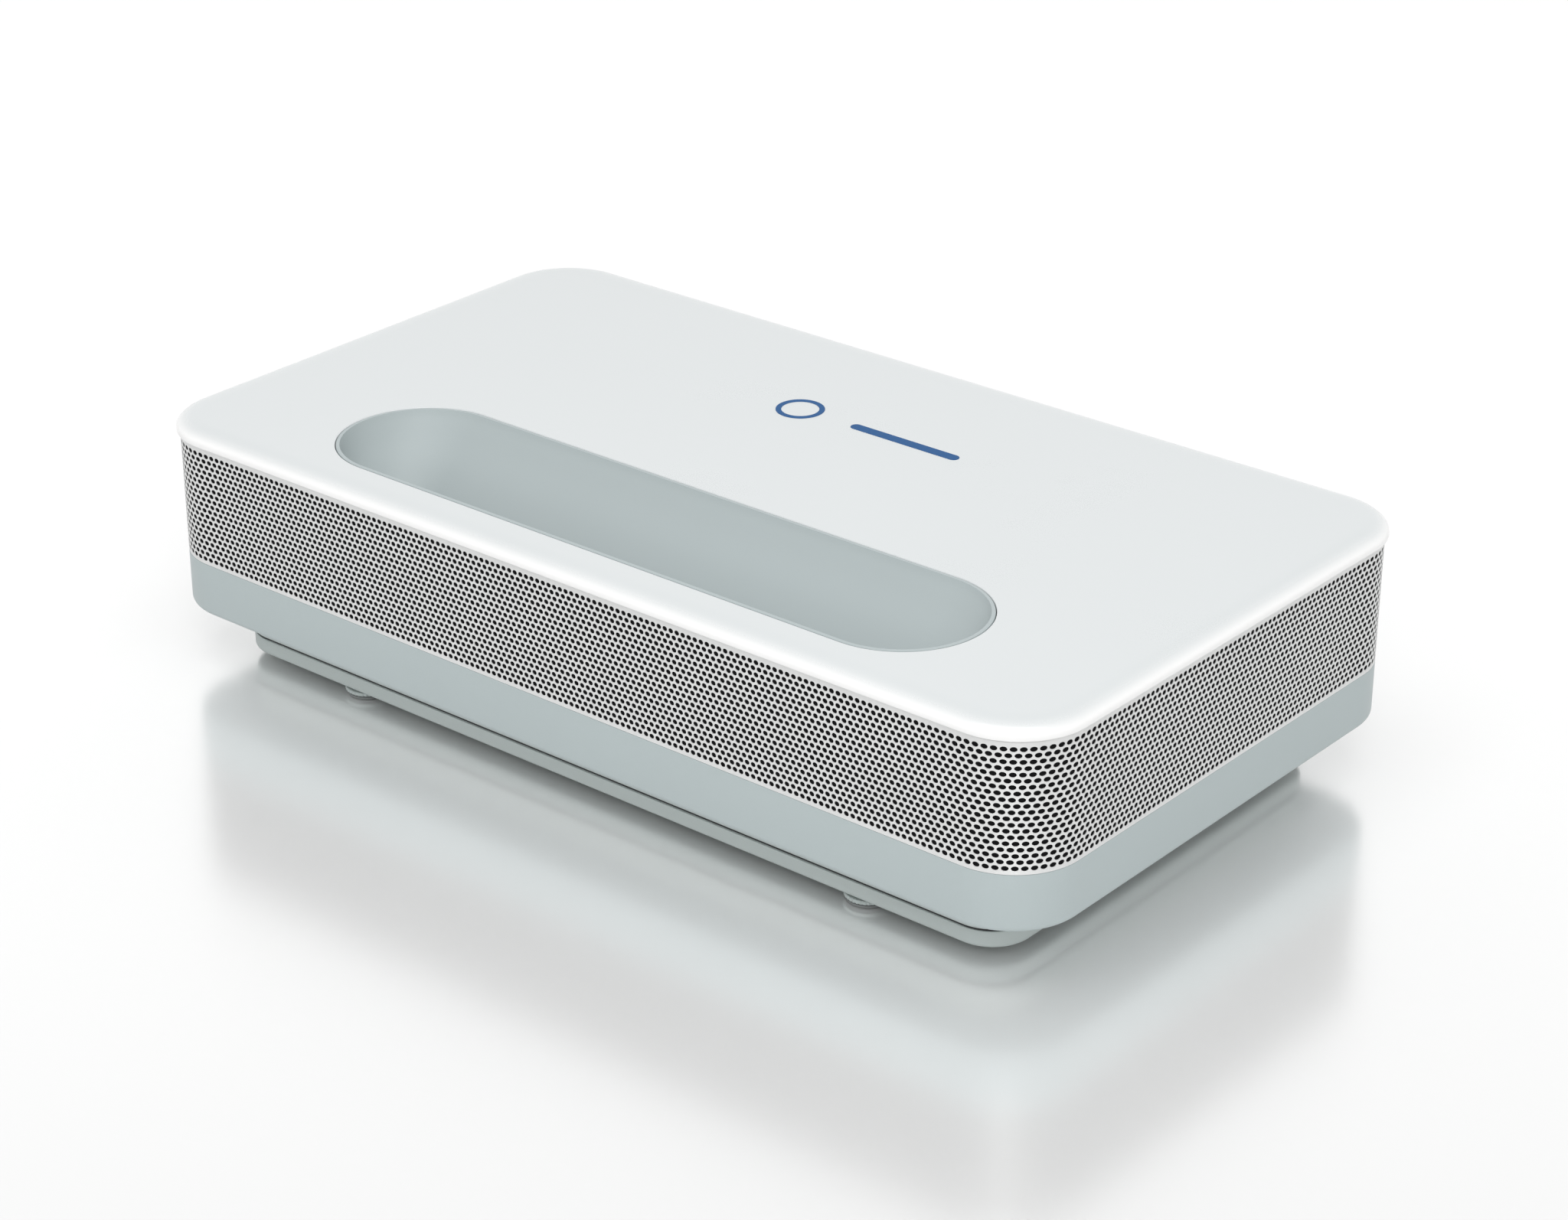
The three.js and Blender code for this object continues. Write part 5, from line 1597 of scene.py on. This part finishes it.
@dataclass(frozen=True)
class Socket:
    """Looks of one socket: wall, corner radius, finish and what its mouth holds.

    A tongue is given as its width, its thickness and how far it sits above the middle.
    """

    node: str
    wall: float
    radius: float
    slot: str
    tongue: Optional[tuple[float, float, float]] = None
    pins: int = 0
    pin_width: float = 0.4 * MM


@dataclass
class Connections:
    """Rear panel with its sockets and power button."""

    finishes: Finishes
    soft: float = 0.35 * MM
    recess: float = 0.8 * MM
    play: float = 0.3 * MM
    border: float = 3.5 * MM
    back_wall: float = 0.8 * MM
    sockets: tuple[Socket, ...] = (
        Socket("power_inlet", 2.0 * MM, 2.4 * MM, "dark_plastic"),
        Socket("lan_socket", 0.8 * MM, 0.5 * MM, "zinc_steel", None, 8, 0.45 * MM),
        Socket("usb_socket_1", 0.8 * MM, 0.5 * MM, "zinc_steel", USB_TONGUE, 4, 1.0 * MM),
        Socket("usb_socket_2", 0.8 * MM, 0.5 * MM, "zinc_steel", USB_TONGUE, 4, 1.0 * MM),
        Socket("hdmi_socket_1", 0.8 * MM, 1.2 * MM, "zinc_steel", HDMI_TONGUE, 9, 0.45 * MM),
        Socket("hdmi_socket_2", 0.8 * MM, 1.2 * MM, "zinc_steel", HDMI_TONGUE, 9, 0.45 * MM),
        Socket("optical_socket", 0.8 * MM, 1.0 * MM, "dark_plastic"),
    )

    def __post_init__(self) -> None:
        """Read the panel's place."""
        self.low, self.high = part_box("io_panel")

    def face(self, node: str, radius: float, grow: float = 0.0) -> Outline:
        """Outline of a node's rear face, drawn with X across and Z up.

        Args:
            node: The node.
            radius: Its corner radius.
            grow: How far the outline is enlarged.

        Returns:
            The outline.
        """
        low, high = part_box(node)
        centre = ((low.x + high.x) / 2, (low.z + high.z) / 2)
        return Outline(high.x - low.x + 2 * grow, high.z - low.z + 2 * grow, radius, centre, 4, 1)

    def panel(self) -> None:
        """Build the panel: a raised border, a sunk field and a soft-edged window for each socket."""
        outer = self.face("io_panel", 1.2 * MM)
        sides = 2 * self.border
        field = Outline(outer.width - sides, outer.depth - sides, 2 * MM, outer.centre, 6, 1)
        holes = [self.face(socket.node, socket.radius, self.play) for socket in self.sockets]
        for node in ("audio_socket", "power_button"):
            low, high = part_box(node)
            radius = (high.x - low.x) / 2 + self.play
            centre = ((low.x + high.x) / 2, (low.z + high.z) / 2)
            holes.append(Outline(2 * radius, 2 * radius, radius - 0.01 * MM, centre, 10, 1))
        back, front = self.low.y, self.high.y - 0.1 * MM
        sunk = front - self.recess
        build = Builder()
        build.flat(back, outer.ring(), [hole.ring() for hole in holes])
        build.flat(front, outer.ring(self.soft), [field.ring()])
        build.flat(sunk, field.ring(self.soft), [hole.ring(-self.soft) for hole in holes])
        side = [Level(0.0, back), Level(0.0, front - self.soft), Level(self.soft, front)]
        build.stack(outer, side, Closing.OPEN)
        build.stack(field, [Level(0.0, front), Level(self.soft, sunk)], Closing.OPEN)
        for hole in holes:
            rim = [Level(0.0, back), Level(0.0, sunk - self.soft), Level(-self.soft, sunk)]
            build.stack(hole, rim, Closing.OPEN)
        build.place(rear_facing(0.0))
        keep(build.piece("rear_panel", self.finishes["dark_plastic"]), CASE, "dark_plastic", "io_panel")

    def shell(self, socket: Socket) -> None:
        """Build the metal or plastic shell of one socket."""
        low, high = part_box(socket.node)
        outline = self.face(socket.node, socket.radius)
        lip = min(0.25 * MM, 0.4 * socket.wall)
        wall, floor = min(socket.wall, socket.radius * 0.95), low.y + self.back_wall
        inner = wall if socket.radius > socket.wall else socket.radius * 0.9
        levels = [Level(inner, floor), Level(inner, high.y - lip), Level(inner - lip * 0.6, high.y)]
        levels += [Level(lip * 0.6, high.y), Level(0.0, high.y - lip), Level(0.0, low.y)]
        build = Builder()
        build.stack(outline, levels, Closing.CAPS)
        build.place(rear_facing(0.0))
        made = build.piece(f"{socket.node}_shell", self.finishes[socket.slot])
        keep(made, CASE, socket.slot, socket.node)

    def inside(self, socket: Socket) -> None:
        """Build the tongue and contacts inside one socket."""
        low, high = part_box(socket.node)
        middle = (low + high) / 2
        floor, tip = low.y + self.back_wall, high.y - 1.6 * MM
        if socket.tongue:
            width, thick, rise = socket.tongue
            z = middle.z + rise
            build = Builder()
            spot = Vector((middle.x - width / 2, floor, z - thick / 2))
            build.block(spot, (middle.x + width / 2, tip, z + thick / 2), 0.2 * MM)
            keep(build.piece(f"{socket.node}_tongue", self.finishes["dark_plastic"]), CASE, "dark_plastic")
            self.pins(socket, middle.x, z - thick / 2, floor, tip - 0.8 * MM, width * 0.9)
        elif socket.pins:
            wall = socket.wall + 0.05 * MM
            outline = self.face(socket.node, socket.radius, -wall)
            thick, front = 1.0 * MM, high.y - 0.6 * MM
            levels = [Level(thick, floor + 0.5 * MM), Level(thick, front - 0.2 * MM)]
            levels += [Level(0.8 * thick, front), Level(0.2 * MM, front)]
            levels += [Level(0.0, front - 0.2 * MM), Level(0.0, floor + 0.05 * MM)]
            build = Builder()
            build.stack(outline, levels, Closing.CAPS)
            build.place(rear_facing(0.0))
            made = build.piece(f"{socket.node}_insert", self.finishes["dark_plastic"])
            keep(made, CASE, "dark_plastic")
            self.pins(socket, middle.x, high.z - wall - 1.5 * MM, floor + 0.7 * MM, tip - 3 * MM, 8.6 * MM)

    def pins(self, socket: Socket, x: float, z: float, start: float, end: float, span: float) -> None:
        """Build a row of contacts by geometry nodes.

        Args:
            socket: The socket they belong to.
            x: Middle of the row.
            z: Height of their upper face.
            start: Where they start along Y.
            end: Where they end along Y.
            span: Width of the whole row.
        """
        build = Builder()
        half = socket.pin_width / 2
        build.block((-half, start, z - 0.22 * MM), (half, end, z - 0.02 * MM), 0.05 * MM, 1)
        pin = build.piece("pin", self.finishes["contact_gold"])
        step = (span - socket.pin_width) / (socket.pins - 1)
        first = x - (span - socket.pin_width) / 2
        tree = GeometryTree("contacts", {"Pin": pin, "Count": socket.pins, "Step": step, "First": first})
        place = tree.vector(tree.size("First") + tree.index() * tree.size("Step"), 0.0, 0.0)
        row = tree.copies(tree.moved(tree.points(tree.size("Count")), place), tree.shape("Pin"))
        made = tree.run(f"{socket.node}_contacts", row, self.finishes["contact_gold"])
        keep(made, CASE, "brass")
        drop(pin)

    def inlet_pins(self) -> None:
        """Build the three blades of the power inlet."""
        low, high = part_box("power_inlet")
        middle = (low + high) / 2
        build = Builder()
        for dx, dz in ((-6.5, -1.2), (0.0, 2.6), (6.5, -1.2)):
            spot = Vector((middle.x + dx * MM, 0.0, middle.z + dz * MM))
            build.block(spot + Vector((-1 * MM, low.y + 1 * MM, -2 * MM)),
                        spot + Vector((1 * MM, high.y - 4 * MM, 2 * MM)), 0.35 * MM, 3)
        keep(build.piece("power_inlet_blades", self.finishes["steel"]), CASE, "steel")

    def turned(
        self, node: str, part: str, profile: Sequence[Point], steps: int, body: str, slot: str
    ) -> None:
        """Build one round part about the middle of its node, facing the rear.

        Args:
            node: The node that it stands for.
            part: What it is, added to the node's name.
            profile: Radius and height of each ring, from the node's front.
            steps: Number of facets round.
            body: The body it rides on.
            slot: Slot of its finish.
        """
        low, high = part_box(node)
        middle = (low + high) / 2
        build = Builder()
        build.lathe(profile, steps)
        build.place(rear_facing(low.y) @ Matrix.Translation((middle.x, middle.z, 0.0)))
        keep(build.piece(f"{node}_{part}", self.finishes[slot]), body, slot, node)

    def round_parts(self) -> None:
        """Build the audio socket and the power button about their axes."""
        low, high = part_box("audio_socket")
        radius, depth = (high.x - low.x) / 2, high.y - low.y
        bore = 1.8 * MM
        profile = [(0.0, 2 * MM), (bore, 2 * MM), (bore, depth - 0.4 * MM), (bore + 0.4 * MM, depth)]
        profile += [(radius - 0.5 * MM, depth), (radius, depth - 0.5 * MM), (radius, 0.0), (0.0, 0.0)]
        self.turned("audio_socket", "barrel", profile, 48, CASE, "dark_plastic")
        low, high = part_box("power_button")
        radius, depth = (high.x - low.x) / 2, high.y - low.y
        skirt = depth - 3.4 * MM
        profile = [(0.0, 0.0), (2 * MM, 0.0), (2 * MM, skirt), (radius, skirt), (radius, depth - 0.5 * MM)]
        profile += [(radius - 0.15 * MM, depth - 0.15 * MM), (radius - 0.5 * MM, depth)]
        profile += [(radius - 1.2 * MM, depth), (radius * 0.6, depth - 0.25 * MM), (0.0, depth - 0.35 * MM)]
        self.turned("power_button", "cap", profile, 64, "power_button", "shell_grey")

    def build(self) -> None:
        """Build everything on the rear panel."""
        self.panel()
        for socket in self.sockets:
            self.shell(socket)
            self.inside(socket)
        self.inlet_pins()
        self.round_parts()


# -------------------- frame nodes


class FrameNodes:
    """Gives every CAD node that stays in view its finish."""

    def __init__(self, finishes: Finishes) -> None:
        """Hold the finishes."""
        self.finishes = finishes

    def build(self) -> None:
        """Dress every node in the finish of its slot."""
        for entry in frame["record"]["subparts"]:
            node = frame["nodes"][entry["node"]]
            node.data.materials.clear()
            node.data.materials.append(self.finishes[entry["material_slot"]])


# -------------------- studio


@dataclass
class Studio:
    """Plain floor, soft lights and the camera."""

    azimuth: float = 39.741
    elevation: float = 25.634
    roll: float = 0.067
    distance: float = 1.47889
    target: Vector = Vector((0.0227, -0.0138, 0.0555))
    lens: float = 82.81
    floor_size: float = 14.0
    horizon: float = 1.08
    zenith: float = 0.5
    sensor: float = 36.0
    aim: Vector = Vector((0.0, 0.0, 0.05))

    def camera(self) -> None:
        """Stand the camera at its angle and distance from the case."""
        a, e = math.radians(self.azimuth), math.radians(self.elevation)
        back = Vector((math.sin(a) * math.cos(e), -math.cos(a) * math.cos(e), math.sin(e)))
        data = bpy.data.cameras.new("camera")
        data.lens = self.lens
        data.sensor_width = self.sensor
        data.clip_start = 0.05
        data.clip_end = 60.0
        made = bpy.data.objects.new("camera", data)
        made.rotation_mode = "QUATERNION"
        made.location = self.target + back * self.distance
        turn = Quaternion((0.0, 0.0, 1.0), math.radians(self.roll))
        made.rotation_quaternion = (-back).to_track_quat("-Z", "Y") @ turn
        bpy.context.scene.collection.objects.link(made)
        bpy.context.scene.camera = made

    def floor(self) -> None:
        """Lay the floor at the height that the feet rest on."""
        data = bpy.data.meshes.new("floor")
        half = self.floor_size / 2
        corners = [(-half, -half, 0.0), (half, -half, 0.0), (half, half, 0.0), (-half, half, 0.0)]
        data.from_pydata(corners, [], [(0, 1, 2, 3)])
        data.materials.append(StudioFloor().material())
        made = bpy.data.objects.new("floor", data)
        made.location.z = CAD_BOX[0].z - 0.05 * MM
        bpy.context.scene.collection.objects.link(made)

    def area(self, name: str, place: Vector, width: float, depth: float, power: float) -> None:
        """Hang one soft area light that faces the case.

        Args:
            name: The light's name.
            place: Where it hangs.
            width: Its width.
            depth: Its other side.
            power: Its power in watts.
        """
        data = bpy.data.lights.new(name, "AREA")
        data.shape = "RECTANGLE"
        data.size, data.size_y = width, depth
        data.energy = power
        made = bpy.data.objects.new(name, data)
        made.location = place
        made.rotation_mode = "QUATERNION"
        made.rotation_quaternion = (self.aim - place).to_track_quat("-Z", "Y")
        bpy.context.scene.collection.objects.link(made)

    def world(self) -> None:
        """Fill the room with pale light that is brightest near the horizon."""
        world = bpy.data.worlds.new("room")
        world.use_nodes = True
        tree = NodeTree(world.node_tree)
        tree.tree.nodes.clear()
        direction = tree.node("ShaderNodeTexCoord", {}, {}).outputs["Generated"]
        height = Value(tree, tree.node("ShaderNodeSeparateXYZ", {}, {"Vector": direction}).outputs["Z"])
        strength = self.horizon - height.between(0.3, 0.85) * (self.horizon - self.zenith)
        light = tree.node("ShaderNodeBackground", {}, {"Color": (1.0, 1.0, 1.0, 1.0), "Strength": strength})
        tree.node("ShaderNodeOutputWorld", {}, {"Surface": light.outputs[0]})
        bpy.context.scene.world = world

    def build(self) -> None:
        """Build the room."""
        self.camera()
        self.floor()
        self.world()
        self.area("top_softbox", Vector((0.25, -0.45, 1.9)), 1.6, 1.25, 18.0)
        self.area("front_softbox", Vector((1.3, -1.45, 1.75)), 0.8, 0.6, 13.0)
        bpy.context.scene.view_settings.view_transform = "Standard"


# -------------------- whole projector


def main() -> None:
    """Build the room and every sub-assembly."""
    logging.basicConfig(level=logging.INFO, format="%(name)s: %(message)s")
    Studio().build()
    finishes = Finishes(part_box("top_cover")[1].z)
    FrameNodes(finishes).build()
    case = Case(finishes)
    parts = [case, Grille(finishes, case), LightWell(finishes, case), CoverMark(finishes)]
    for part in [*parts, Feet(finishes), Connections(finishes)]:
        part.build()


if __name__ == "__main__":
    main()
